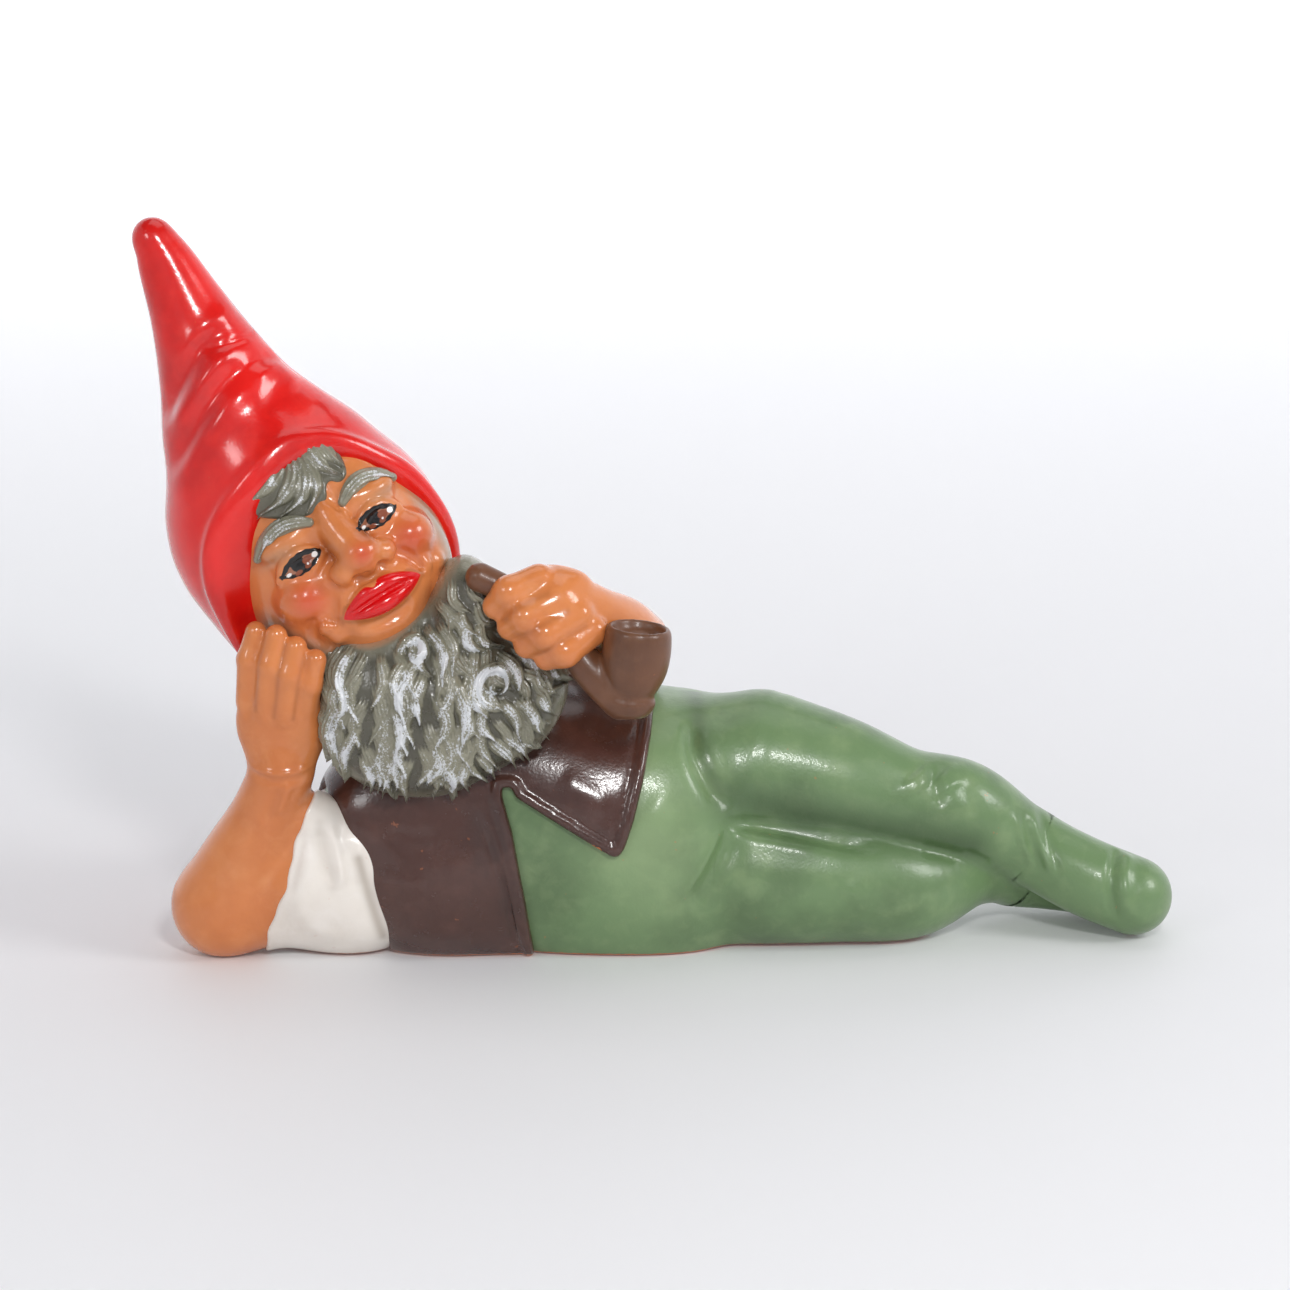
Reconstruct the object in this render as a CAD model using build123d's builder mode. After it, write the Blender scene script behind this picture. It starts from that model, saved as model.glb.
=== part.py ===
"""Reclining garden gnome: a hollow slip-cast terracotta figure made of luted clay pieces.

Millimetres. +Z is up, +X runs from the head end to the feet, and -Y is the front, where
the face looks. The origin is on the flat underside of the trunk, which rests on the floor.
Every piece is first modelled as a full form. A form is then trimmed by the forms that it
is luted to, so that neighbours meet face to face, and the hollow castings are emptied by
cores that leave an even wall.
"""

from build123d import *
from math import cos, radians, sin, sqrt
import os

# ---------------------------------------------------------------- driving dimensions
wall = 6.0  # fired clay of the hollow castings
vent_radius = 7.0  # pouring and firing hole in the underside of the trunk
vent_x = 24.0  # where that hole is, along X

seat_x = 52.0  # where the trunk ends, inside the thighs
trunk_length = 144.0  # seat to shoulders, along X
trunk_half_depth = 43.0  # half of the belly, front to back
trunk_half_height = 40.0  # half of the belly, floor to flank
trunk_sink = 3.0  # how far the round belly is flattened into the floor

vest_thickness = 3.0  # clay of the waistcoat over the trunk
vest_length = 92.0  # shoulders to hem, along X
placket_height = 57.0  # height where the two vest fronts part, under the beard
flap_drop = 22.0  # how far the upper vest front hangs below that point
flap_reach = 36.0  # from the parting to the point of the hanging front, along X
flap_back = 11.0  # from the hem back to that point, along X

thigh_length = 56.0  # hip to knee, along X
thigh_radius = 25.0
knee_radius = 16.5
shin_length = 44.0  # knee to ankle, along X
calf_radius = 15.5
ankle_radius = 10.5
foot_length = 24.0  # ankle to ball of the foot, along X
foot_radius = 11.0
cuff_thickness = 1.2  # ring round the ankle of the crossing shoe

head_radius = 34.0  # cranium
jaw_radius = 27.0
face_height = 22.0  # cranium centre to jaw centre
head_tilt = 29.0  # degrees that the head leans towards the propping hand
head_turn = 9.0  # degrees that the face turns towards the feet
head_lift = 5.0  # degrees that the face looks up
neck_radius = 23.0
nose_radius = 6.2
cheek_radius = 10.0

hat_height = 113.0  # cranium centre to the tip of the hat
hat_cover = 5.5  # clay of the hat over the cranium
hat_tip_radius = 8.0
brim_front = 27.0  # height of the brim over the cranium centre, at the forehead

beard_drop = 62.0  # chin to the bottom of the beard
beard_half_width = 37.0
beard_half_depth = 17.0

forearm_length = 48.0  # elbow to wrist
elbow_radius = 17.0
wrist_radius = 10.5
upper_arm_length = 50.0
upper_arm_radius = 18.5
palm_radius = 12.5
finger_radius = 4.4
finger_length = 27.0
finger_count = 4

fist_radius = 13.0
pipe_forearm_length = 40.0
pipe_sleeve_radius = 15.0

bowl_radius = 10.5  # outside of the pipe bowl at its rim
bowl_height = 28.0
bowl_bore_radius = 7.2  # hollow in the top of the bowl
bowl_bore_depth = 8.0
stem_radius = 4.6
mouthpiece_radius = 3.6

lock_radius = 5.5  # forelock, each of its two locks
brow_radius = 2.6

# ---------------------------------------------------------------- skeleton
shoulder_x = seat_x - trunk_length
hem_x = shoulder_x + vest_length

crossing_hip = Vector(seat_x - 26, -1, 52)
crossing_knee = crossing_hip + Vector(thigh_length, -8, -9)
crossing_calf = crossing_knee + Vector(0.40 * shin_length, 4, -3.5)
crossing_ankle = crossing_knee + Vector(shin_length, 8, -18)
crossing_toe = crossing_ankle + Vector(foot_length, -5, -9)

resting_hip = Vector(seat_x - 24, -4, thigh_radius - trunk_sink)
resting_knee = resting_hip + Vector(thigh_length - 4, -6, -4.5)
resting_ankle = resting_knee + Vector(shin_length - 6, 22, -3)
resting_toe = resting_ankle + Vector(foot_length + 14, -6, -3.6)

neck_base = Vector(shoulder_x + 22, -2, 64)
head_centre = Vector(shoulder_x - 9.5, -12, 128)

propping_shoulder = Vector(shoulder_x + 10, -12, 30)
propping_elbow = propping_shoulder + Vector(-upper_arm_length - 4, -16, -14)
propping_bulge = propping_elbow + Vector(0.12, -0.06, 0.36) * forearm_length
propping_wrist = propping_elbow + Vector(0.42, -0.16, 0.88) * forearm_length
propping_palm = propping_wrist + Vector(-1.5, -3, 20)

pipe_shoulder = Vector(shoulder_x + 35, 13, 79)
pipe_elbow = Vector(shoulder_x + 80, 12, 86)
pipe_wrist = pipe_elbow + Vector(0.10, -0.87, 0.60) * pipe_forearm_length
fist_centre = pipe_wrist + Vector(-21, -18, 2)

pipe_mouth = fist_centre + Vector(-27, -2, 13)
pipe_crook = fist_centre + Vector(11, -8, -17)
bowl_base = fist_centre + Vector(20, -10, -30)
bowl_lean = Vector(0.17, 0, 1).normalized()


def face_frame():
    """The head's own axes: X to the wearer's left, Y up through the hat, Z out of the face."""
    lean, turn, lift = (radians(a) for a in (head_tilt, head_turn, head_lift))
    across = Vector(cos(lean), 0, sin(lean))
    upward = Vector(-sin(lean), 0, cos(lean))
    forward = Vector(0, -1, 0) * cos(turn) + across * sin(turn)
    forward = forward * cos(lift) + upward * sin(lift)
    across = upward.cross(forward).normalized()
    return Plane(origin=head_centre, x_dir=across, z_dir=forward)


face = face_frame()


def on_head(across, upward, forward):
    """A point given in the head's own axes."""
    return face.from_local_coords(Vector(across, upward, forward))


jaw_centre = on_head(0, -face_height, 3)

hat_radius = head_radius + hat_cover
hat_stations = (
    # share of the height, sideways shift of the centre, share of the widest radius
    (-0.20, -2.0, 0.93),
    (0.00, -3.0, 1.00),
    (0.16, -4.0, 0.96),
    (0.28, -5.5, 0.83),
    (0.40, -7.0, 0.64),
    (0.50, -7.0, 0.51),
    (0.62, -5.0, 0.38),
    (0.78, -2.0, 0.28),
    (0.86, -1.0, 0.24),
)

brim_plane = Plane(
    origin=on_head(0, brim_front, 30),
    x_dir=face.x_dir,
    z_dir=face.y_dir * 0.50 - face.z_dir * 0.86,
)

beard_stations = (
    # share of the drop, shift of the centre along X, and towards the front, then the
    # shares of the half width and of the half depth
    (-0.03, 13.5, -18, 0.68, 0.94),
    (0.26, 29.5, -27, 1.00, 1.06),
    (0.58, 31.5, -29, 1.00, 1.06),
    (0.82, 30.5, -29, 0.66, 0.70),
)

front_edge = (
    # the outline of the bare belly seen from the front, along X and up, from the parting
    (hem_x - flap_back - flap_reach, placket_height),
    (hem_x - flap_back, placket_height - flap_drop),
    (hem_x - 2.7, placket_height - 2),
    (hem_x + 0.5, 2 * trunk_half_height),
    (seat_x, 2 * trunk_half_height),
    (seat_x, -wall),
    (hem_x - 36, -wall),
)


# ---------------------------------------------------------------- building blocks
def midpoint(start, end):
    """The point halfway between two others."""
    return (start + end) * 0.5


def limb(start, start_radius, end, end_radius):
    """Adds a tapered limb with a ball at each end to the part that is being built."""
    along = end - start
    length = along.length
    slope = (start_radius - end_radius) / length
    rise = sqrt(1 - slope * slope)
    side = along.cross(Vector(0, 0, 1) if abs(along.Z) < 0.9 * length else Vector(1, 0, 0))
    heel = (-start_radius, 0)
    wall_start = (start_radius * slope, start_radius * rise)
    wall_end = (length + end_radius * slope, end_radius * rise)
    tip = (length + end_radius, 0)
    with BuildSketch(Plane(origin=start, x_dir=along, z_dir=side)) as outline:
        with BuildLine():
            ThreePointArc(heel, ball_point(start_radius, slope, -1), wall_start)
            Line(wall_start, wall_end)
            ThreePointArc(wall_end, ball_point(end_radius, slope, 1, length), tip)
            Line(tip, heel)
        make_face()
    revolve(outline.sketch, axis=Axis(start, along))


def ball_point(radius, slope, direction, offset=0.0):
    """The middle of the arc from a ball's pole to where the limb's straight wall begins."""
    pole = Vector(direction, 0)
    edge = Vector(slope, sqrt(1 - slope * slope))
    middle = (pole + edge).normalized() * radius
    return (middle.X + offset, middle.Y)


def chain(*joints):
    """Adds limbs from joint to joint; each joint is a point with its radius."""
    for (start, start_radius), (end, end_radius) in zip(joints, joints[1:]):
        limb(start, start_radius, end, end_radius)


def trunk_loft(shrink=0.0, ends=0.0):
    """Adds the trunk, an ellipse at each station from the seat to the shoulders."""
    stations = (
        # share of the length, height of the centre, share of the depth, share of the height
        (0.00, 34.0, 0.70, 0.84),
        (0.19, 37.5, 0.93, 1.00),
        (0.43, 37.0, 1.00, 1.00),
        (0.67, 43.0, 0.95, 1.02),
        (0.88, 50.0, 0.84, 0.93),
        (1.00, 52.0, 0.62, 0.76),
    )
    sections = []
    for share, height, depth_share, height_share in stations:
        x = seat_x - ends - share * (trunk_length - 2 * ends)
        plane = Plane(origin=(x, 0, height), x_dir=(0, 1, 0), z_dir=(-1, 0, 0))
        with BuildSketch(plane) as station:
            Ellipse(
                trunk_half_depth * depth_share - shrink,
                trunk_half_height * height_share - shrink,
            )
        sections.append(station.sketch)
    loft(sections)


def hat_loft():
    """Adds the pointed hat round the head's axis, from below the ears to near the tip."""
    sections = []
    for share, shift, radius_share in hat_stations:
        centre = on_head(shift, share * hat_height, 0)
        with BuildSketch(Plane(origin=centre, x_dir=face.x_dir, z_dir=face.y_dir)) as station:
            Circle(hat_radius * radius_share)
        sections.append(station.sketch)
    loft(sections)


def shoe(shin, ankle, toe):
    """Adds a shoe: a cuff of two rings round the ankle, the heel and the foot to its toe."""
    along = (ankle - shin).normalized()
    for back in (2.0, 6.5):
        ring = ankle - along * back
        limb(ring, ankle_radius + cuff_thickness, ring + along * 3, ankle_radius + cuff_thickness)
    sole = midpoint(ankle, toe)
    chain(
        (ankle, ankle_radius),
        (sole, 0.5 * (ankle_radius + foot_radius)),
        (toe, foot_radius),
    )


def eyebrow(side):
    """Adds one eyebrow; the side is 1 for the wearer's left and -1 for the right."""
    chain(
        (on_head(side * 7, 10.5, 33), 0.8 * brow_radius),
        (on_head(side * 16, 13, 30), brow_radius),
        (on_head(side * 25, 8.5, 24.5), 0.6 * brow_radius),
    )


def tool(shape):
    """Takes a form away from the part that is being built."""
    add(shape, mode=Mode.SUBTRACT)


def above_floor():
    """Cuts off whatever the part being built has under the floor."""
    split(bisect_by=Plane.XY, keep=Keep.TOP)


# ---------------------------------------------------------------- forms
with BuildPart() as trunk_form:
    trunk_loft()

with BuildPart() as vest_form:
    trunk_loft(shrink=-vest_thickness, ends=-vest_thickness)

with BuildPart() as crossing_leg_form:
    chain(
        (crossing_hip, thigh_radius),
        (crossing_knee, knee_radius),
        (crossing_calf, calf_radius),
        (crossing_ankle, ankle_radius),
    )

with BuildPart() as resting_leg_form:
    chain(
        (resting_hip, thigh_radius),
        (resting_knee, knee_radius + 0.5),
        (resting_ankle, ankle_radius),
    )

with BuildPart() as crossing_shoe_form:
    shoe(crossing_calf, crossing_ankle, crossing_toe)

with BuildPart() as resting_shoe_form:
    shoe(resting_knee, resting_ankle, resting_toe)

with BuildPart() as head_form:
    chain((head_centre, head_radius), (jaw_centre, jaw_radius))
    limb(neck_base, neck_radius, on_head(0, -12, -4), neck_radius)
    limb(on_head(0, 3, 30), 0.6 * nose_radius, on_head(0, -8, 35), nose_radius)
    for side in (-1, 1):
        cheek = on_head(side * 0.55 * head_radius, -12.5, 20)
        limb(cheek, cheek_radius, on_head(side * 0.40 * head_radius, -15, 20), cheek_radius)

with BuildPart() as hat_form:
    hat_loft()
    share, shift, radius_share = hat_stations[-1]
    limb(
        on_head(shift, share * hat_height, 0),
        hat_radius * radius_share,
        on_head(0, hat_height - hat_tip_radius, 0),
        hat_tip_radius,
    )
    split(bisect_by=brim_plane, keep=Keep.TOP)

with BuildPart() as beard_form:
    sections = []
    for share, shift, depth, width_share, depth_share in beard_stations:
        level = head_centre.Z - face_height - share * beard_drop
        centre = (head_centre.X + shift, head_centre.Y + depth, level)
        with BuildSketch(Plane(origin=centre)) as station:
            Ellipse(beard_half_width * width_share, beard_half_depth * depth_share)
        sections.append(station.sketch)
    loft(sections)

with BuildPart() as propping_sleeve_form:
    limb(
        propping_shoulder,
        upper_arm_radius,
        midpoint(propping_shoulder, propping_elbow),
        0.95 * upper_arm_radius,
    )

with BuildPart() as propping_arm_form:
    chain(
        (midpoint(propping_shoulder, propping_elbow), 0.8 * upper_arm_radius),
        (propping_elbow, elbow_radius),
        (propping_bulge, 0.88 * elbow_radius),
        (propping_wrist, wrist_radius),
        (propping_palm, palm_radius),
    )
    for finger in range(finger_count):
        spread = (finger - (finger_count - 1) / 2) * 1.55 * finger_radius
        knuckle = propping_palm + Vector(spread, -3, 2)
        tip = knuckle + Vector(-2.5 + 0.12 * spread, 3, finger_length - 0.05 * spread**2)
        limb(knuckle, finger_radius + 0.8, tip, finger_radius)

with BuildPart() as pipe_sleeve_form:
    chain(
        (pipe_shoulder, 1.1 * pipe_sleeve_radius),
        (pipe_elbow, pipe_sleeve_radius),
        (midpoint(pipe_elbow, pipe_wrist), 0.9 * pipe_sleeve_radius),
    )

with BuildPart() as pipe_hand_form:
    chain(
        (midpoint(pipe_elbow, pipe_wrist), 0.72 * pipe_sleeve_radius),
        (pipe_wrist, 0.8 * fist_radius),
        (fist_centre, fist_radius),
    )
    for finger in range(finger_count):
        knuckle = fist_centre + Vector(10 - 7.5 * finger, -5, -10 + 5.5 * finger)
        tip = knuckle + Vector(-9, -4, -9)
        limb(knuckle, finger_radius + 1.2, tip, finger_radius)

with BuildPart() as pipe_form:
    chain(
        (bowl_base + bowl_lean * 6, stem_radius + 1),
        (pipe_crook, stem_radius + 1),
        (fist_centre, stem_radius),
        (pipe_mouth, mouthpiece_radius),
    )
    bowl_profile = (
        # share of the height, share of the rim radius
        (0.00, 0.45),
        (0.08, 0.70),
        (0.26, 0.84),
        (0.45, 0.92),
        (0.75, 1.04),
        (1.00, 0.94),
    )
    bowl_across = Vector(0, 1, 0).cross(bowl_lean)
    with BuildSketch(Plane(origin=bowl_base, x_dir=bowl_across, z_dir=(0, -1, 0))) as bowl:
        with BuildLine():
            bowl_side = Spline(*[(bowl_radius * r, bowl_height * h) for h, r in bowl_profile])
            Line(bowl_side @ 1, (0, bowl_height))
            Line((0, bowl_height), (0, 0))
            Line((0, 0), bowl_side @ 0)
        make_face()
    revolve(bowl.sketch, axis=Axis(bowl_base, bowl_lean))

with BuildPart() as forelock_form:
    chain(
        (on_head(10, 29, 20), 0.8 * lock_radius),
        (on_head(9, 20, 31), lock_radius),
        (on_head(-2, 16, 33.5), lock_radius),
        (on_head(-14, 23, 29), 0.55 * lock_radius),
    )

with BuildPart() as right_eyebrow_form:
    eyebrow(-1)

with BuildPart() as left_eyebrow_form:
    eyebrow(1)

# ---------------------------------------------------------------- hollows
with BuildPart() as hollow:
    trunk_loft(shrink=wall, ends=wall)
    chain(
        (crossing_hip, thigh_radius - wall),
        (crossing_knee, knee_radius - wall),
        (crossing_calf, calf_radius - wall),
    )
    limb(resting_hip, thigh_radius - wall, resting_knee, knee_radius - wall)
    chain(
        (neck_base, neck_radius - wall),
        (on_head(0, -12, -4), neck_radius - wall),
        (head_centre, head_radius - wall),
    )
    limb(head_centre, head_radius - wall, jaw_centre, jaw_radius - wall)
    chain(
        (on_head(-5, 0.25 * hat_height, 0), 0.6 * hat_radius - wall),
        *[
            (on_head(shift, share * hat_height, 0), hat_radius * radius_share - wall)
            for share, shift, radius_share in hat_stations[4:8]
        ],
    )
    split(bisect_by=Plane.XY.offset(wall), keep=Keep.TOP)

# ---------------------------------------------------------------- pieces
with BuildPart() as trunk:
    add(trunk_form)
    tool(hollow)
    with BuildSketch(Plane.XY) as vent:
        with Locations((vent_x, 0)):
            Circle(vent_radius)
    extrude(vent.sketch, amount=2 * wall, mode=Mode.SUBTRACT)
    above_floor()

with BuildPart() as vest:
    add(vest_form)
    with BuildSketch(Plane.XZ) as opening:
        with BuildLine():
            Polyline(*front_edge, close=True)
        make_face()
    extrude(opening.sketch, amount=2 * trunk_half_depth, mode=Mode.SUBTRACT)
    split(bisect_by=Plane.YZ.offset(hem_x), keep=Keep.BOTTOM)
    for form in (trunk_form, crossing_leg_form, resting_leg_form, propping_sleeve_form):
        tool(form)
    tool(head_form)
    above_floor()

with BuildPart() as crossing_leg:
    add(crossing_leg_form)
    tool(trunk_form)
    tool(hollow)
    above_floor()

with BuildPart() as resting_leg:
    add(resting_leg_form)
    for form in (trunk_form, crossing_leg_form, hollow):
        tool(form)
    above_floor()

with BuildPart() as crossing_shoe:
    add(crossing_shoe_form)
    for form in (crossing_leg_form, resting_leg_form):
        tool(form)
    above_floor()

with BuildPart() as resting_shoe:
    add(resting_shoe_form)
    for form in (resting_leg_form, crossing_leg_form, crossing_shoe_form):
        tool(form)
    above_floor()

with BuildPart() as head:
    add(head_form)
    tool(trunk_form)
    tool(hollow)

with BuildPart() as hat:
    add(hat_form)
    for form in (head_form, vest_form, hollow):
        tool(form)

with BuildPart() as propping_sleeve:
    add(propping_sleeve_form)
    for form in (trunk_form, head_form):
        tool(form)
    above_floor()

with BuildPart() as propping_forearm:
    add(propping_arm_form)
    for form in (trunk_form, vest_form, propping_sleeve_form, head_form, hat_form):
        tool(form)
    above_floor()

with BuildPart() as beard:
    add(beard_form)
    for form in (head_form, vest_form, hat_form, propping_arm_form, propping_sleeve_form):
        tool(form)

with BuildPart() as pipe_sleeve:
    add(pipe_sleeve_form)
    for form in (vest_form, head_form, hat_form, beard_form):
        tool(form)

with BuildPart() as pipe:
    add(pipe_form)
    rim = Plane(origin=bowl_base + bowl_lean * bowl_height, z_dir=bowl_lean)
    with BuildSketch(rim) as bore:
        Circle(bowl_bore_radius)
    extrude(bore.sketch, amount=-bowl_bore_depth, mode=Mode.SUBTRACT)
    for form in (beard_form, head_form):
        tool(form)

with BuildPart() as pipe_hand:
    add(pipe_hand_form)
    for form in (pipe_form, pipe_sleeve_form, beard_form, head_form, vest_form):
        tool(form)

with BuildPart() as forelock:
    add(forelock_form)
    for form in (head_form, hat_form):
        tool(form)

with BuildPart() as right_eyebrow:
    add(right_eyebrow_form)
    for form in (head_form, hat_form, forelock_form):
        tool(form)

with BuildPart() as left_eyebrow:
    add(left_eyebrow_form)
    for form in (head_form, hat_form, forelock_form):
        tool(form)

# ---------------------------------------------------------------- export
pieces = {
    "trunk": trunk,
    "vest": vest,
    "crossing_leg": crossing_leg,
    "resting_leg": resting_leg,
    "crossing_shoe": crossing_shoe,
    "resting_shoe": resting_shoe,
    "propping_sleeve": propping_sleeve,
    "propping_forearm": propping_forearm,
    "pipe_sleeve": pipe_sleeve,
    "pipe_hand": pipe_hand,
    "pipe": pipe,
    "head": head,
    "hat": hat,
    "beard": beard,
    "forelock": forelock,
    "right_eyebrow": right_eyebrow,
    "left_eyebrow": left_eyebrow,
}
os.makedirs("parts", exist_ok=True)
for name, piece in pieces.items():
    piece.part.label = name
    export_step(piece.part, f"parts/{name}.step")
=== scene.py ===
"""Reclining garden gnome in painted terracotta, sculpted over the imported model.

Every visible piece is modelled as clay: a grid of distances in millimetres, joined and cut
with soft blends, turned into a mesh, then painted with glossy enamel. Lengths here are
millimetres in the model's own frame, and become metres when a mesh is made.
"""

import math

import bpy
import numpy as np
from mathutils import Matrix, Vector


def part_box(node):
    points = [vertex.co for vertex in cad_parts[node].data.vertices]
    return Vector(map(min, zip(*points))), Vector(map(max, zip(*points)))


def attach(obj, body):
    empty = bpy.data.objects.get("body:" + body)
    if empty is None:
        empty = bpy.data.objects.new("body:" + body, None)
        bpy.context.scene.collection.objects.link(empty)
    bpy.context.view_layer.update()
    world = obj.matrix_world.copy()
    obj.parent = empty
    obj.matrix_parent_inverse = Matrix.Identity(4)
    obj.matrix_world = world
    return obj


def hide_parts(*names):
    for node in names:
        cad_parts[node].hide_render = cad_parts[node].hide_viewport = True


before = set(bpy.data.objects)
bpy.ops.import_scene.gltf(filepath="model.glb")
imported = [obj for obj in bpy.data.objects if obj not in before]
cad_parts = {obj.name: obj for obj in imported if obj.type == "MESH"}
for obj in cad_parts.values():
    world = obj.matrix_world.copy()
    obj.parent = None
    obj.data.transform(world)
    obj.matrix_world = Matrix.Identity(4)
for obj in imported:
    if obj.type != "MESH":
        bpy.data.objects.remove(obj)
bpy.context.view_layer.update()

COARSE = 1.0
FAR = 60.0  # the distance, in millimetres, that a grid holds where no clay is near
UP = np.array((0.0, 0.0, 1.0))


# ------------------------------------------------------------------ places
def vec(*values):
    """A point or direction as an array."""
    return np.array(values, float)


def unit(direction):
    """The same direction, one long."""
    return direction / np.linalg.norm(direction)


def spot(node, across, depth, height):
    """A point in millimetres, given as shares of a CAD node's box."""
    low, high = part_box(node)
    low, high = np.array(low) * 1000, np.array(high) * 1000
    return low + (high - low) * (across, depth, height)


class Place:
    """A local frame: an origin and three axes."""

    def __init__(self, origin, right, up):
        self.origin = origin
        self.right = unit(right)
        self.up = unit(up - self.right * np.dot(up, self.right))
        self.out = np.cross(self.right, self.up)

    def __call__(self, right, up, out=0.0):
        return self.origin + self.right * right + self.up * up + self.out * out

    def flat(self, points):
        """Right and up of each point, in the place's own plane."""
        away = points - self.origin
        return np.stack([away @ self.right, away @ self.up], axis=1)

    def local(self, x, y, z):
        """Grid points in the place's own axes: right, up and out."""
        x, y, z = x - self.origin[0], y - self.origin[1], z - self.origin[2]
        return [x * a[0] + y * a[1] + z * a[2] for a in (self.right, self.up, self.out)]


# ------------------------------------------------------------------ clay
class Ball:
    """An ellipsoid; its three radii lie along the axes of a place, or along X, Y and Z."""

    def __init__(self, centre, radii, place=None):
        self.centre = np.array(centre, float)
        self.radii = np.array(radii, float) * np.ones(3)
        self.axes = np.eye(3)
        if place is not None:
            self.axes = np.array((place.right, place.up, place.out))
        reach = np.sqrt(((self.axes.T * self.radii) ** 2).sum(axis=1))
        self.low, self.high = self.centre - reach, self.centre + reach

    def distance(self, x, y, z):
        x, y, z = x - self.centre[0], y - self.centre[1], z - self.centre[2]
        near = far = 0.0
        for axis, radius in zip(self.axes, self.radii):
            along = (x * axis[0] + y * axis[1] + z * axis[2]) / radius
            near = near + along**2
            far = far + (along / radius) ** 2
        near = np.sqrt(near)
        return near * (near - 1.0) / np.maximum(np.sqrt(far), 1e-6)


class Limb:
    """A tapered limb with round ends; flat squashes it along one direction."""

    def __init__(self, start, start_radius, end, end_radius, flat=None, squash=1.0):
        self.start = np.array(start, float)
        self.along = np.array(end, float) - self.start
        self.radii = (start_radius, end_radius)
        self.flat, self.squash = flat, squash
        radius = max(self.radii)
        self.low = np.minimum(self.start, end) - radius
        self.high = np.maximum(self.start, end) + radius

    def distance(self, x, y, z):
        x, y, z = x - self.start[0], y - self.start[1], z - self.start[2]
        a = self.along
        share = np.clip((x * a[0] + y * a[1] + z * a[2]) / np.dot(a, a), 0.0, 1.0)
        x, y, z = x - share * a[0], y - share * a[1], z - share * a[2]
        square = x * x + y * y + z * z
        if self.flat is not None:
            through = x * self.flat[0] + y * self.flat[1] + z * self.flat[2]
            square = square + (self.squash**-2 - 1.0) * through**2
        return np.sqrt(square) - (self.radii[0] + share * (self.radii[1] - self.radii[0]))


class Loft:
    """Ellipses along an axis; each station is along, right, up, right radius, up radius."""

    def __init__(self, place, stations, square=2.0, round_ends=8.0):
        self.place, self.square, self.round_ends = place, square, round_ends
        self.stations = np.array(stations, float)
        along, right, up, wide, high = self.stations.T
        ends = [place(r, u, a) for a, r, u in zip(along, right, up)]
        reach = max(wide.max(), high.max())
        self.low = np.min(ends, axis=0) - reach
        self.high = np.max(ends, axis=0) + reach

    def distance(self, x, y, z):
        right, up, along = self.place.local(x, y, z)
        knots = self.stations[:, 0]
        shift_r, shift_u, wide, high = (
            smooth_curve(knots, column, along) for column in self.stations[:, 1:].T
        )
        right, up = (right - shift_r) / wide, (up - shift_u) / high
        n = self.square
        near = (np.abs(right) ** n + np.abs(up) ** n) ** (1.0 / n)
        far = np.sqrt((right / wide) ** 2 + (up / high) ** 2)
        round_near = np.sqrt(right**2 + up**2)
        side = (near - 1.0) * round_near / np.maximum(far, 1e-6)
        ends = np.maximum(knots[0] - along, along - knots[-1])
        return soft_max(side, ends + 0.0 * side, self.round_ends)


def smooth_curve(knots, values, at):
    """Values between knots on a smooth curve (cubic Hermite, slopes from neighbours)."""
    slopes = np.gradient(values, knots)
    at = np.clip(at, knots[0], knots[-1])
    i = np.clip(np.searchsorted(knots, at) - 1, 0, len(knots) - 2)
    gap = knots[i + 1] - knots[i]
    t = (at - knots[i]) / gap
    return (
        (1 + 2 * t) * (1 - t) ** 2 * values[i]
        + t * (1 - t) ** 2 * gap * slopes[i]
        + t * t * (3 - 2 * t) * values[i + 1]
        + t * t * (t - 1) * gap * slopes[i + 1]
    )


def soft_min(a, b, soft):
    """The smaller of two, rounded where they are nearly equal."""
    if soft <= 0:
        return np.minimum(a, b)
    h = np.maximum(soft - np.abs(a - b), 0.0) / soft
    return np.minimum(a, b) - h * h * soft * 0.25


def soft_max(a, b, soft):
    """The larger of two, rounded where they are nearly equal."""
    return -soft_min(-a, -b, soft)


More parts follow.
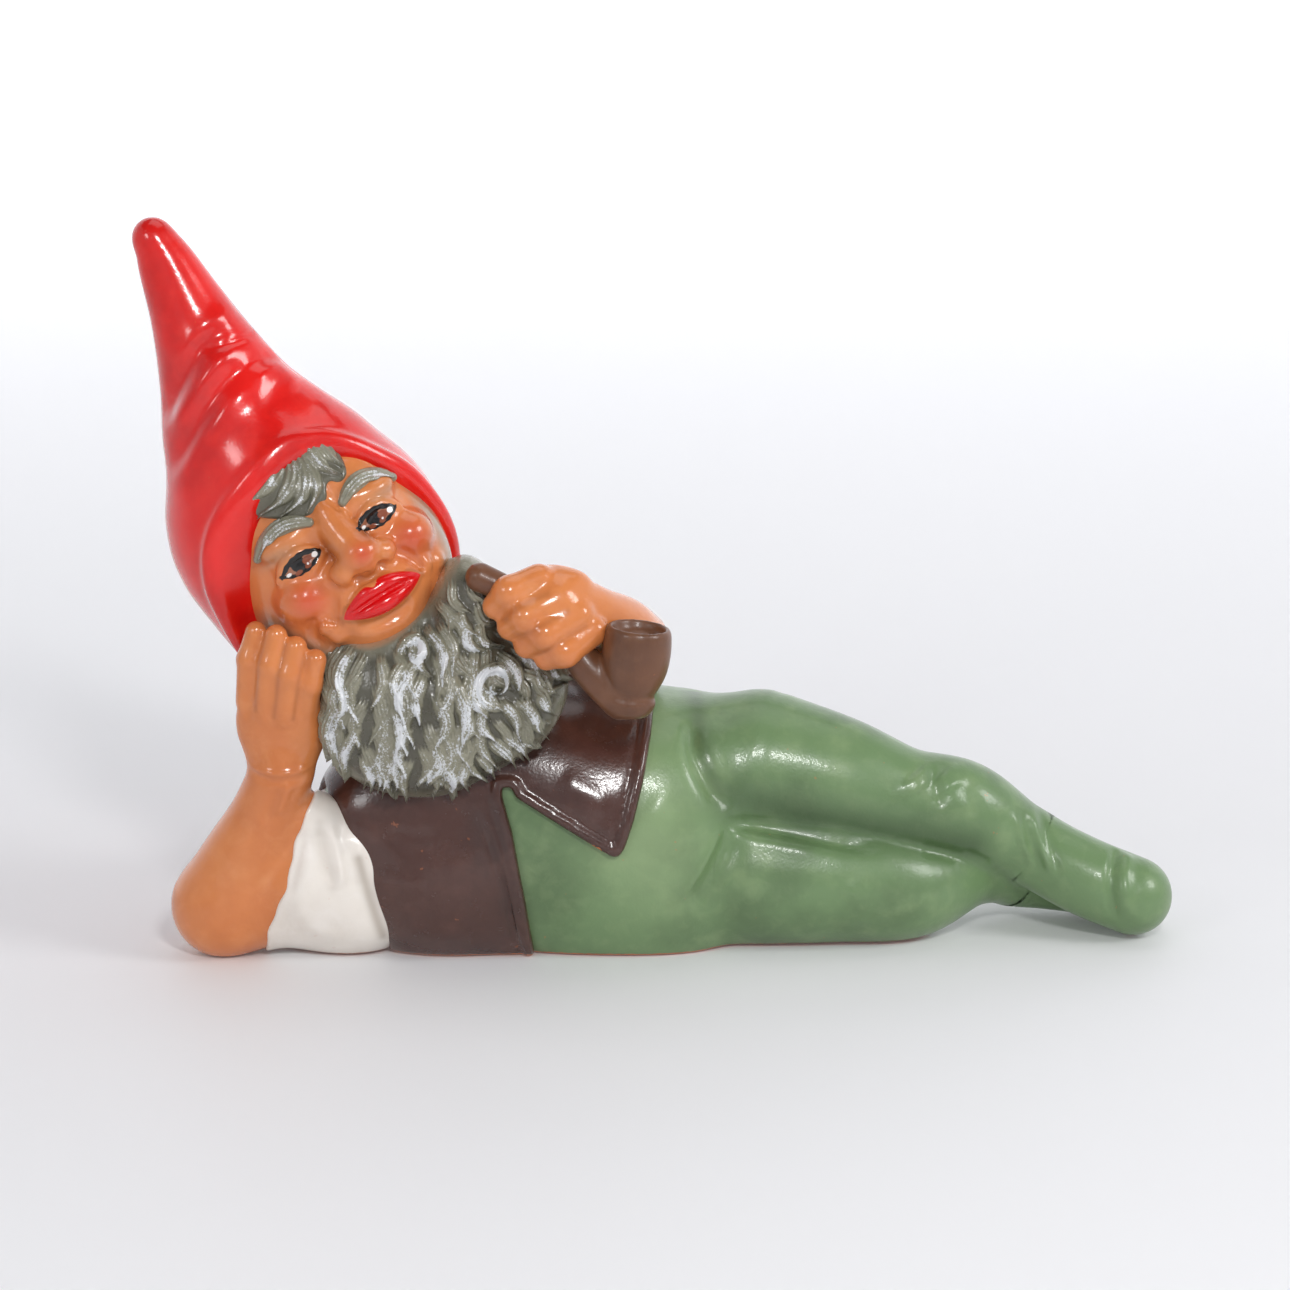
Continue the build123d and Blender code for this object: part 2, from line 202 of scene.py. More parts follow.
class Clay:
    """A lump of clay on a grid of distances: below zero is inside."""

    def __init__(self, low, high, pitch):
        self.pitch = pitch * COARSE
        self.low = np.array(low, float) - 3 * self.pitch
        counts = np.ceil((np.array(high) - self.low) / self.pitch).astype(int) + 4
        self.field = np.full(counts, FAR, np.float32)

    def window(self, low, high):
        """The slices of the grid between two corners, and the points in them."""
        start = np.floor((low - self.low) / self.pitch).astype(int)
        stop = np.ceil((high - self.low) / self.pitch).astype(int) + 1
        start, stop = np.maximum(start, 0), np.minimum(stop, self.field.shape)
        if (stop <= start).any():
            return None, None
        lines = [
            (self.low[i] + self.pitch * np.arange(start[i], stop[i])).astype(np.float32)
            for i in range(3)
        ]
        slices = tuple(slice(a, b) for a, b in zip(start, stop))
        return slices, np.meshgrid(*lines, indexing="ij", sparse=True)

    def points(self):
        """Every point of the grid."""
        return self.window(self.low, self.low + self.pitch * np.array(self.field.shape))[1]

    def add(self, shape, soft=0.0, reach=6.0):
        """Joins a shape to the clay."""
        grow = soft + reach
        where, points = self.window(shape.low - grow, shape.high + grow)
        if where is not None:
            new = shape.distance(*points)
            self.field[where] = soft_min(self.field[where], new, soft)

    def cut(self, shape, soft=0.0):
        """Takes a shape away from the clay."""
        grow = soft + 2.0
        where, points = self.window(shape.low - grow, shape.high + grow)
        if where is not None:
            new = shape.distance(*points)
            self.field[where] = soft_max(self.field[where], -new, soft)

    def keep(self, limit, soft=0.0):
        """Keeps the clay where a field of distances, from a function of x, y, z, is below zero."""
        self.field = soft_max(self.field, limit(*self.points()), soft)

    def copy(self):
        """The same clay again, to go on with separately."""
        twin = Clay.__new__(Clay)
        twin.pitch, twin.low, twin.field = self.pitch, self.low, self.field.copy()
        return twin

    def empty(self):
        """No clay yet, on the same grid."""
        twin = self.copy()
        twin.field[...] = FAR
        return twin

    def sample(self, points):
        """The distance at each point, between the grid's own points."""
        place = (points - self.low) / self.pitch
        place = np.clip(place, 0, np.array(self.field.shape) - 1.001)
        base = np.floor(place).astype(int)
        t = (place - base).astype(np.float32)
        total = 0.0
        for corner in range(8):
            bits = np.array([(corner >> k) & 1 for k in range(3)])
            weight = np.prod(np.where(bits, t, 1 - t), axis=1)
            i, j, k = (base + bits).T
            total = total + weight * self.field[i, j, k]
        return total

    def slope(self, points):
        """The direction out of the clay at each point."""
        step = 0.75 * self.pitch
        parts = [
            self.sample(points + step * axis) - self.sample(points - step * axis)
            for axis in np.eye(3)
        ]
        direction = np.stack(parts, axis=1)
        return direction / np.maximum(np.linalg.norm(direction, axis=1), 1e-9)[:, None]

    def surface(self):
        """The clay's skin: its points, and its faces with four corners each."""
        for axis in range(3):
            for side in (slice(0, 2), slice(-2, None)):
                rim = [slice(None)] * 3
                rim[axis] = side
                self.field[tuple(rim)] = np.maximum(self.field[tuple(rim)], 0.5 * self.pitch)
        inside = self.field < 0
        corners = [(i, j, k) for i in (0, 1) for j in (0, 1) for k in (0, 1)]
        n = np.array(self.field.shape) - 1
        count = np.zeros(n, np.int8)
        for i, j, k in corners:
            count += inside[i : i + n[0], j : j + n[1], k : k + n[2]]
        mixed = (count > 0) & (count < 8)
        cells = np.argwhere(mixed)
        index = np.full(n, -1, np.int32)
        index[mixed] = np.arange(len(cells))
        total = np.zeros((len(cells), 3))
        hits = np.zeros(len(cells))
        for a in corners:
            for axis in range(3):
                if a[axis]:
                    continue
                b = list(a)
                b[axis] = 1
                fa = self.field[tuple((cells + a).T)]
                fb = self.field[tuple((cells + b).T)]
                crossing = (fa < 0) != (fb < 0)
                t = fa / np.where(crossing, fa - fb, 1.0)
                point = np.tile(np.array(a, float), (len(cells), 1))
                point[:, axis] = t
                total += np.where(crossing[:, None], point, 0.0)
                hits += crossing
        points = self.low + self.pitch * (cells + total / hits[:, None])
        faces = []
        for axis in range(3):
            one, two = (axis + 1) % 3, (axis + 2) % 3
            ahead = np.roll(inside, -1, axis=axis)
            edge = inside != ahead
            limit = [slice(1, -1)] * 3
            mask = np.zeros_like(edge)
            mask[tuple(limit)] = edge[tuple(limit)]
            at = np.argwhere(mask)
            quads = []
            for d_one, d_two in ((-1, -1), (0, -1), (0, 0), (-1, 0)):
                cell = at.copy()
                cell[:, one] += d_one
                cell[:, two] += d_two
                quads.append(index[tuple(cell.T)])
            quads = np.stack(quads, axis=1)
            outward = inside[tuple(at.T)]
            quads[~outward] = quads[~outward][:, ::-1]
            faces.append(quads)
        faces = np.concatenate(faces)
        return points, faces[(faces >= 0).all(axis=1)]


def smooth_points(points, faces, rounds, strength=0.5):
    """Evens out the skin by moving points towards the middle of their neighbours."""
    pairs = np.concatenate([faces[:, [i, (i + 1) % 4]] for i in range(4)])
    one, two = pairs[:, 0], pairs[:, 1]
    count = np.bincount(one, minlength=len(points)) + np.bincount(two, minlength=len(points))
    for _ in range(rounds):
        total = np.stack(
            [
                np.bincount(one, points[two, k], len(points))
                + np.bincount(two, points[one, k], len(points))
                for k in range(3)
            ],
            axis=1,
        )
        points = points + strength * (total / count[:, None] - points)
    return points


def piece(node, clay, slot, marks, shape=None, even=1):
    """Makes the mesh of a clay piece, which stands for the named CAD node, and paints it."""
    points, faces = clay.surface()
    points = smooth_points(points, faces, even)
    if shape is not None:
        points = points + clay.slope(points) * shape(points)[:, None]
    mesh = bpy.data.meshes.new(f"{node}_clay")
    mesh.vertices.add(len(points))
    mesh.vertices.foreach_set("co", (points * 0.001).astype(np.float32).ravel())
    mesh.loops.add(faces.size)
    mesh.loops.foreach_set("vertex_index", faces.astype(np.int32).ravel())
    mesh.polygons.add(len(faces))
    mesh.polygons.foreach_set("loop_start", np.arange(0, faces.size, 4, dtype=np.int32))
    mesh.polygons.foreach_set("use_smooth", np.ones(len(faces), bool))
    mesh.update(calc_edges=True)
    mesh.validate()
    for label, values in marks(points).items():
        layer = mesh.attributes.new(label, "FLOAT", "POINT")
        layer.data.foreach_set("value", np.asarray(values, np.float32))
    body = bpy.data.objects.new(mesh.name, mesh)
    bpy.context.scene.collection.objects.link(body)
    body.data.materials.append(enamels[slot])
    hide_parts(node)
    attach(body, "root")


# ------------------------------------------------------------------ relief
class Stroke:
    """A ridge or groove along a line drawn on a place's plane, seen from its out side."""

    def __init__(self, place, line, width, height):
        self.place, self.line = place, rounded(np.array(line, float), 2)
        self.width, self.height = width, height

    def lift(self, points, facing):
        """How far each point moves out of the clay."""
        flat = self.place.flat(points)
        reach = 2.5 * self.width
        near = np.all(
            (flat > self.line.min(axis=0) - reach) & (flat < self.line.max(axis=0) + reach),
            axis=1,
        ) & (facing > 0.05)
        result = np.zeros(len(points))
        if not near.any():
            return result
        away, share = line_distance(flat[near], self.line)[:2]
        fade = np.clip(4.0 * np.minimum(share, 1 - share), 0, 1)
        fade = fade * fade * (3 - 2 * fade)
        bump = np.exp(-((away / self.width) ** 2)) * fade * np.clip(facing[near] * 3, 0, 1)
        result[near] = self.height * bump
        return result


def rounded(line, rounds, closed=False):
    """The same line with its corners cut off (Chaikin), with the ends of an open line kept."""
    for _ in range(rounds):
        if closed:
            line = np.concatenate([line, line[:1]])
        first = line[:-1] * 0.75 + line[1:] * 0.25
        second = line[:-1] * 0.25 + line[1:] * 0.75
        middle = np.stack([first, second], axis=1).reshape(-1, line.shape[1])
        line = middle if closed else np.concatenate([line[:1], middle[1:-1], line[-1:]])
    return line


def line_distance(points, line):
    """Distance to a line in a plane, how far along it, and that distance signed by side."""
    best = np.full(len(points), 1e9)
    share = np.zeros(len(points))
    side = np.zeros(len(points))
    lengths = np.linalg.norm(np.diff(line, axis=0), axis=1)
    total, done = lengths.sum(), 0.0
    for start, end, length in zip(line, line[1:], lengths):
        along = (end - start) / max(length, 1e-9)
        t = np.clip((points - start) @ along, 0, length)
        offset = points - start - t[:, None] * along
        away = np.linalg.norm(offset, axis=1)
        closer = away < best
        best = np.where(closer, away, best)
        share = np.where(closer, (done + t) / total, share)
        side = np.where(closer, offset @ vec(-along[1], along[0]), side)
        done += length
    return best, share, side


class Locks:
    """Overlapping locks of hair, drawn on a place's plane and combed into strands."""

    def __init__(self, place, locks, strand=1.15):
        self.place, self.strand = place, strand
        self.locks = [(rounded(np.array(line, float), 2), w, 1.15 * h) for line, w, h in locks]

    def height(self, points):
        """How high the hair stands at each point."""
        flat = self.place.flat(points)
        total = np.zeros(len(points))
        for line, width, height in self.locks:
            low, high = line.min(axis=0) - width, line.max(axis=0) + width
            near = np.flatnonzero(np.all((flat > low) & (flat < high), axis=1))
            if not len(near):
                continue
            away, share, side = line_distance(flat[near], line)
            wide = width * (0.55 + 0.45 * np.sin(math.pi * np.clip(share * 1.25, 0, 1)))
            wide = wide * np.clip((1.0 - share) / 0.35, 0.15, 1)
            across = away / wide
            dome = np.sqrt(np.maximum(1 - across**2, 0))
            rise = np.clip(share / 0.18, 0, 1) * (0.55 + 0.45 * share)
            comb = 0.5 + 0.5 * np.cos(2 * math.pi * side / self.strand)
            hair_height = height * dome * rise - 0.55 * (1 - comb) * np.clip(dome * 2, 0, 1)
            total[near] = soft_max(total[near], np.where(across < 1, hair_height, 0.0), 0.12)
        return np.maximum(total, 0.0)

    def shape(self, clay):
        """A function that lifts points by the hair's height, where they face its plane."""

        def lift(points):
            facing = np.clip(clay.slope(points) @ self.place.out * 3.0, 0, 1)
            return self.height(points) * facing

        return lift


def relief(clay, place, folds):
    """A function that lifts points by folds drawn on a place; each is a line, width, height."""
    strokes = [Stroke(place, *fold) for fold in folds]

    def shape(points):
        slope = clay.slope(points)
        total = np.zeros(len(points))
        for stroke in strokes:
            total += stroke.lift(points, slope @ place.out)
        return total

    return shape


def inside_outline(x, z, outline):
    """Distance to a closed outline in a plane, negative inside it."""
    x, z = np.broadcast_arrays(x, z)
    best = np.full(x.shape, 1e9, np.float32)
    inside = np.zeros(x.shape, bool)
    outline = np.array(outline, float)
    for (ax, az), (bx, bz) in zip(outline, np.roll(outline, -1, axis=0)):
        ex, ez = bx - ax, bz - az
        t = np.clip(((x - ax) * ex + (z - az) * ez) / (ex * ex + ez * ez), 0, 1)
        best = np.minimum(best, (x - ax - t * ex) ** 2 + (z - az - t * ez) ** 2)
        crosses = (az > z) != (bz > z)
        inside ^= crosses & (x < (bx - ax) * (z - az) / (bz - az + 1e-12) + ax)
    return np.where(inside, -1.0, 1.0) * np.sqrt(best)


def chain(clay, place, joints, soft=0.0, fine=9):
    """Joins a smoothly bent limb; each joint is a point on a place, with its radius there."""
    lump = clay.empty()
    line = np.array([(*place(*point), radius) for point, radius in joints])
    knots = np.concatenate([[0], np.cumsum(np.linalg.norm(np.diff(line, axis=0), axis=1))])
    at = np.interp(np.arange(fine * (len(line) - 1) + 1) / fine, np.arange(len(line)), knots)
    line = np.stack([smooth_curve(knots, column, at) for column in line.T], axis=1)
    for start, end in zip(line, line[1:]):
        lump.add(Limb(start[:3], start[3], end[:3], end[3]), reach=13.0)
    clay.field = soft_min(clay.field, lump.field, soft)
    return clay


def add_balls(clay, place, balls, reach=6.0):
    """Joins balls to the clay; each is a centre on a place, radii and how softly it joins."""
    for centre, radii, soft in balls:
        clay.add(Ball(place(*centre), radii, place), soft, reach)


def box_clay(place, low, high, pitch):
    """An empty grid between two corners that are given as right, up and out of a place."""
    corners = np.array([place(*low), place(*high)])
    return Clay(corners.min(axis=0), corners.max(axis=0), pitch)


# ------------------------------------------------------------------ where things are
SIDE, FRONT = vec(1, 0, 0), vec(0, -1, 0)
front = Place(spot("vest", 1.0, 0.5, 0.0), SIDE, UP)  # the waistcoat's hem, on the floor
lengthwise = Place(front.origin, -FRONT, UP)  # out is towards the feet
elbow = Place(spot("propping_forearm", 0.0, 0.0, 0.0), SIDE, UP)
grip = Place(spot("pipe_hand", 0.5, 0.0, 0.5), SIDE, UP)
beard = Place(spot("beard", 0.5, 0.0, 0.0), SIDE, UP)
hat_foot = Place(spot("hat", 0.0, 0.5, 0.0), SIDE, UP)

tilt, turn, lift = (math.radians(a) for a in (29.0, 17.0, 5.0))  # how the head leans
across_head = vec(math.cos(tilt), 0, math.sin(tilt))
head_up = vec(-math.sin(tilt), 0, math.cos(tilt))
head_out = FRONT * math.cos(turn) + across_head * math.sin(turn)
head_out = head_out * math.cos(lift) + head_up * math.sin(lift)
head_right = np.cross(head_up, head_out)
head_middle = spot("hat", 0.592, 0.441, 0.2825)
head = Place(head_middle, head_right, np.cross(head_out, head_right))
skull = (  # centre and radii of the balls that hat, beard and forelock fit over
    ((0, 2, -2), (33.5, 35, 33)),
    ((0, -6, 7), (29.5, 31, 24)),
    ((0.5, 17, 14), (24, 14, 17)),
)
chin, left_cheek = ((0.5, -28, 22), (12, 8, 9.5)), ((17, -15, 10), (13, 17, 16))


def bell(away, width):
    """One at zero, fading to nothing over about twice the width."""
    return np.exp(-((away / width) ** 2))


# ------------------------------------------------------------------ paint
def srgb(red, green, blue):
    """A screen colour of 0 to 255 as the linear colour that shaders take."""

    def line(value):
        value = value / 255
        return value / 12.92 if value <= 0.04045 else ((value + 0.055) / 1.055) ** 2.4

    return (line(red), line(green), line(blue), 1.0)


class Paint:
    """Builds one enamel material, node by node."""

    def __init__(self, name, colour, rough=0.24, coat=0.35):
        self.material = bpy.data.materials.new(name)
        self.material.use_nodes = True
        self.tree = self.material.node_tree
        self.shader = self.tree.nodes["Principled BSDF"]
        self.shader.inputs["Coat Weight"].default_value = coat
        self.shader.inputs["Coat Roughness"].default_value = 0.08
        self.shader.inputs["IOR"].default_value = 1.5
        self.rough = rough
        self.colour = colour
        self.bumps = []
        self.where = self.node("ShaderNodeTexCoord").outputs["Object"]

    def node(self, kind, settings=None, **inputs):
        """Adds a node; inputs are values or the outputs of other nodes."""
        made = self.tree.nodes.new(kind)
        for key, value in (settings or {}).items():
            setattr(made, key, value)
        for key, value in inputs.items():
            socket = made.inputs[int(key[1:])] if key[1:].isdigit() else made.inputs[key]
            if isinstance(value, bpy.types.NodeSocket):
                self.tree.links.new(value, socket)
            else:
                socket.default_value = value
        return made

    def math(self, kind, one, two=0.0, three=0.0, clamp=False):
        settings = {"operation": kind, "use_clamp": clamp}
        return self.node("ShaderNodeMath", settings, _0=one, _1=two, _2=three).outputs[0]

    def noise(self, size_mm, detail=3.0, rough=0.55, distort=0.0, offset=0.0):
        """Smooth random values; size is that of one lump, in millimetres."""
        shift = (offset, offset * 0.7, offset * 1.3)
        where = self.node("ShaderNodeMapping", Vector=self.where, Location=shift).outputs[0]
        kinds = {"Detail": detail, "Roughness": rough, "Distortion": distort}
        made = self.node("ShaderNodeTexNoise", Vector=where, Scale=1000.0 / size_mm, **kinds)
        return made.outputs["Fac"]

    def between(self, value, low, high):
        """Zero below low, one above high, smooth between."""
        settings = {"interpolation_type": "SMOOTHSTEP"}
        made = self.node("ShaderNodeMapRange", settings, Value=value, _1=low, _2=high)
        return made.outputs[0]

    def mark(self, label):
        """A value that the sculpting stored at each point."""
        return self.node("ShaderNodeAttribute", {"attribute_name": label}).outputs["Fac"]

    def mix(self, mask, other, amount=1.0):
        """Paints another colour over, where the mask is one."""
        if amount != 1.0:
            mask = self.math("MULTIPLY", mask, amount)
        made = self.node("ShaderNodeMix", {"data_type": "RGBA"}, _0=mask, _6=self.colour, _7=other)
        self.colour = made.outputs[2]

    def finish(self, rough_noise=0.10):
        """Joins colour, roughness and relief to the shader."""
        link = self.tree.links.new
        link(self.colour, self.shader.inputs["Base Color"])
        speck = self.noise(7.0, 5.0, 0.65, offset=3.0)
        rough = self.math("MULTIPLY_ADD", speck, rough_noise * 2, -rough_noise)
        link(self.math("ADD", rough, self.rough, clamp=True), self.shader.inputs["Roughness"])
        normal = None
        for height, depth_mm in self.bumps:
            made = self.node("ShaderNodeBump", Height=height, Distance=depth_mm * 0.001)
            if normal is not None:
                link(normal, made.inputs["Normal"])
            normal = made.outputs["Normal"]
        link(normal, self.shader.inputs["Normal"])
        link(normal, self.shader.inputs["Coat Normal"])
        return self.material


def enamel(name, colour, dark, light, rough=0.24, coat=0.35, peel=0.05):
    """Hand-brushed gloss paint: uneven colour, orange peel and faint brush marks."""
    paint = Paint(name, srgb(*colour), rough, coat)
    paint.mix(paint.between(paint.noise(26.0, 4.0), 0.40, 0.72), srgb(*dark), 0.55)
    paint.mix(paint.between(paint.noise(14.0, 4.0, offset=5.0), 0.50, 0.78), srgb(*light), 0.45)
    strokes = paint.noise(6.0, 3.0, distort=0.4, offset=9.0)
    paint.mix(paint.between(strokes, 0.48, 0.70), srgb(*light), 0.18)
    paint.bumps = [(paint.noise(0.9, 1.0), peel), (strokes, peel * 1.6)]
    return paint


def chips(paint, amount):
    """Bare terracotta where the paint is chipped: rare specks, more where the mark 'wear' is."""
    bare_clay = srgb(196, 112, 66)
    speck = paint.between(paint.noise(3.4, 2.0, offset=21.0), 0.735, 0.75)
    paint.mix(speck, bare_clay, amount)
    worn = paint.math("MULTIPLY_ADD", paint.noise(1.6, 3.0, offset=17.0), 0.9, -0.45)
    worn = paint.math("ADD", paint.mark("wear"), worn)
    paint.mix(paint.between(worn, 0.48, 0.54), bare_clay)


def green_enamel():
    colours = (110, 138, 94), (76, 98, 64), (140, 162, 116)
    paint = enamel("green_enamel", *colours, rough=0.33, coat=0.18, peel=0.05)
    # painted shade under the upper thigh and in the hip, then a painted highlight on the belly
    paint.mix(paint.mark("shade"), srgb(56, 80, 46), 0.8)
    paint.mix(paint.mark("belly"), srgb(152, 176, 128), 0.6)
    chips(paint, 0.3)
    return paint.finish()


def brown_enamel():
    paint = enamel("brown_enamel", (76, 46, 38), (52, 32, 27), (98, 64, 54), rough=0.25)
    chips(paint, 0.3)
    return paint.finish()


def white_enamel():
    colours = (240, 233, 224), (220, 211, 200), (248, 243, 238)
    paint = enamel("white_enamel", *colours, rough=0.32, peel=0.04)
    # painted shade in the sleeve's folds, together with the brown seam line
    paint.mix(paint.mark("shade"), srgb(160, 146, 130), 0.6)
    chips(paint, 0.1)
    return paint.finish()


def red_enamel():
    colours = (230, 24, 18), (180, 14, 12), (242, 44, 32)
    paint = enamel("red_enamel", *colours, rough=0.2, peel=0.03)
    paint.mix(paint.mark("shade"), srgb(120, 10, 12), 0.5)
    chips(paint, 0.1)
    return paint.finish()


def skin_enamel():
    colours = (218, 132, 74), (194, 108, 58), (230, 154, 98)
    paint = enamel("skin_enamel", *colours, rough=0.2, coat=0.3, peel=0.03)
    # painted shade in the face's hollows and between the fingers
    paint.mix(paint.mark("shade"), srgb(146, 76, 36), 0.7)
    paint.mix(paint.mark("blush"), srgb(204, 70, 44), 0.8)
    paint.mix(paint.mark("grey"), srgb(140, 137, 118), 0.85)
    for patch, colour, soft in (
        ("lips", srgb(216, 6, 12), 0.25),
        ("eye", srgb(158, 104, 78), 0.12),
        ("eye_line", srgb(10, 7, 8), 0.12),
        ("eye_brown", srgb(136, 70, 44), 0.16),
        ("eye_glint", srgb(246, 242, 238), 0.12),
    ):
        paint.mix(paint.between(paint.mark(patch), 1.0 - soft, 1.0 + soft), colour)
    return paint.finish()


def pipe_enamel():
    colours = (112, 72, 48), (82, 52, 36), (134, 92, 66)
    paint = enamel("pipe_enamel", *colours, rough=0.34, coat=0.1, peel=0.04)
    chips(paint, 0.2)
    return paint.finish()


def hair_enamel():
    """Grey-green hair with white dry-brushed over its ridges."""
    colours = (140, 137, 118), (100, 98, 82), (160, 158, 140)
    paint = enamel("hair_enamel", *colours, rough=0.28, peel=0.04)
    # painted shade in the crevices and a painted shadow behind the fist
    paint.mix(paint.mark("shade"), srgb(58, 55, 44), 0.85)
    fine = paint.math("MULTIPLY_ADD", paint.noise(0.6, 3.0, 0.7, offset=11.0), 1.5, -0.75)
    patch = paint.math("MULTIPLY_ADD", paint.noise(5.0, 3.0, 0.6, offset=2.0), 1.2, -0.6)
    dry = paint.math("ADD", paint.math("ADD", fine, patch), paint.mark("ridge"))
    paint.mix(paint.between(dry, 0.34, 0.66), srgb(226, 229, 234), 0.86)
    paint.mix(paint.mark("flesh"), srgb(198, 124, 74), 0.7)
    return paint.finish()


enamels = {  # the record's slot names, and the paint of each
    "green_enamel": green_enamel(),
    "brown_enamel": brown_enamel(),
    "white_enamel": white_enamel(),
    "red_enamel": red_enamel(),
    "skin_enamel": skin_enamel(),
    "pipe_enamel": pipe_enamel(),
    "hair_enamel": hair_enamel(),
}


def no_marks(points):
    """No wear, painted shade, painted highlight or other colour: every mark is zero."""
    none = np.zeros(len(points))
    return {"shade": none, "belly": none, "wear": none, "blush": none, "ridge": none, "flesh": none}


def worn_foot(points):
    """Bare clay where the glaze was wiped from the bottom edge."""
    marks = no_marks(points)
    marks["wear"] = np.clip(1.5 - points[:, 2], 0, 1)
    return marks


def above_floor(clay, soft):
    """Cuts the clay off at the floor."""
    clay.keep(lambda x, y, z: -z + 0.0 * x + 0.0 * y, soft)


def flat_distance(place, points, line):
    """Distance to a line drawn on a place's plane."""
    return line_distance(place.flat(points), np.array(line, float))[0]


# ------------------------------------------------------------------ trunk and legs
crossing = (  # right, up and out from the hem, then the radius: hip, knee, calf, ankle
    ((34, 53, 2), 25.0),
    ((58, 49.5, 6), 20.8),
    ((80, 43.5, 8), 17.0),
    ((98, 40.5, 7), 15.8),
    ((112, 32.5, 5), 13.2),
    ((124, 25, 3), 10.8),
)
resting = (
    ((32, 22, 12), 24.6),
    ((58, 20, 14), 21.0),
    ((80, 17, 13), 17.4),
    ((103, 18.5, 0), 11.8),
    ((120, 14.5, -10), 10.0),
)
crossing_foot = (((121, 26.5, 3), 12.0), ((139, 18.5, 10), 12.6), ((153, 13.5, 13), 12.6))
resting_foot = (((116, 14, -9), 10.2), ((136, 11, -9), 9.6), ((149, 10.5, -6), 10.2))

trunk_stations = (
    # along the body, sideways, height, half depth, half height
    (-92, 0, 50, 26, 32),
    (-76, 0, 46, 35, 41),
    (-44, 0, 37, 40.5, 47),
    (-12, 0, 31.5, 42, 46),
    (6, 0, 31, 40.5, 45.5),
    (20, 0, 31, 36, 43),
    (32, 0, 31, 28, 36),
)
body_folds = (
    # points right and up from the hem, width, height: hip, groin, belly
    (((12, 76), (12, 67), (17, 57), (24, 46)), 2.8, -2.6),
    (((19, 44), (38, 40), (56, 36.5), (74, 32.5)), 2.0, -2.2),
    (((22, 38.5), (36, 37), (54, 33)), 2.6, 0.6),
    (((22, 44), (15.5, 31), (5, 17)), 1.5, 1.1),
    (((25, 41), (21, 30), (12, 15)), 3.4, -1.9),
    (((-4, 52), (4, 45), (8, 34)), 7.0, 1.0),
    # knee
    (((82, 56), (85, 51)), 4.4, 1.3),
    (((91, 56), (94, 50)), 4.0, 1.0),
    (((87, 57), (90, 50), (89, 45)), 2.4, -0.9),
    (((97, 53), (101, 46), (100, 41)), 2.8, -0.6),
    (((84, 32), (92, 30), (98, 27)), 2.0, -0.7),
    (((98, 31), (103, 27), (108, 25)), 1.8, -0.8),
    (((60, 25), (66, 16), (64, 8)), 3.4, 0.6),
    (((70, 22), (76, 14)), 2.6, -0.5),
    # rings of the ankle and the toe cap
    (((114, 43), (116.5, 33), (121, 24)), 1.1, 0.7),
    (((117, 43), (119.5, 33), (124, 22)), 1.1, -0.7),
    (((120, 42), (122.5, 32), (127, 21)), 1.2, 0.8),
    (((123, 42), (125.5, 32), (130, 20)), 1.2, -0.5),
    (((149, 33), (144, 22), (147, 7)), 1.5, -1.4),
    (((153, 32), (148.5, 22), (151, 8)), 2.2, 1.0),
)


def body_marks(points):
    """Painted shade under the upper thigh and in the hip, and a painted highlight on the belly."""
    marks = worn_foot(points)
    x, y, z = (points - front.origin).T
    thigh = flat_distance(front, points, ((26, 50), (52, 43), (84, 37), (100, 33)))
    hip = flat_distance(front, points, ((13, 78), (17, 60), (24, 46)))
    # painted shade under the thigh and in the hip; below it a painted highlight on the belly's
    # front
    marks["shade"] = np.maximum(0.85 * bell(thigh, 7.5), 0.7 * bell(hip, 3.0)) * (y < 4)
    marks["belly"] = bell(x + 2, 16) * bell(z - 42, 26) * (y < 0)
    return marks


def body_lumps():
    """The trunk, the legs and the shoes, each on its own, on one grid."""
    empty = Clay((-114, -52, -4), (172, 50, 96), 0.85)
    torso = empty.copy()
    torso.add(Loft(lengthwise, trunk_stations, square=2.35, round_ends=24.0), reach=30.0)
    torso.add(Ball(front(-88, 42, 18), (17, 18, 18)), 12.0, reach=12.0)
    torso.add(Ball(front(-68, 22, 13), (31, 28, 27)), 12.0, reach=12.0)
    return {
        "trunk": torso,
        "crossing_leg": chain(empty.copy(), front, crossing),
        "resting_leg": chain(empty.copy(), front, resting),
        "crossing_shoe": chain(empty.copy(), front, crossing_foot),
        "resting_shoe": chain(empty.copy(), front, resting_foot),
    }


def joined_body(lumps):
    """The same pieces run together, with soft hips and a sharp crease between the legs."""
    whole = lumps["trunk"].copy()
    upper = soft_min(lumps["trunk"].field, lumps["crossing_leg"].field, 11.0)
    upper = soft_min(upper, lumps["crossing_shoe"].field, 3.0)
    lower = soft_min(lumps["trunk"].field, lumps["resting_leg"].field, 8.0)
    lower = soft_min(lower, lumps["resting_shoe"].field, 3.0)
    whole.field = soft_min(upper, lower, 2.5)
    above_floor(whole, 1.5)
    whole.cut(Limb(front(24, -9), 7.0, front(24, 14), 7.0), 1.0)  # the vent hole
    return whole


def split_body(whole, lumps):
    """Cuts the joined body where its pieces meet; each runs on a little under its neighbour."""
    shape = relief(whole, front, body_folds)
    for node, lump in lumps.items():
        rivals = [other.field for name, other in lumps.items() if name != node]
        edge = 0.5 * (lump.field - np.min(rivals, axis=0))
        share = whole.copy()
        dive = np.clip((edge - 0.5) / 1.5, 0, 1) ** 2 * 1.2
        share.field = np.maximum(whole.field + dive, edge - 2.0)
        piece(node, share, "green_enamel", body_marks, shape, even=3)


def make_body():
    lumps = body_lumps()
    whole = joined_body(lumps)
    split_body(whole, lumps)
    make_vest(whole)


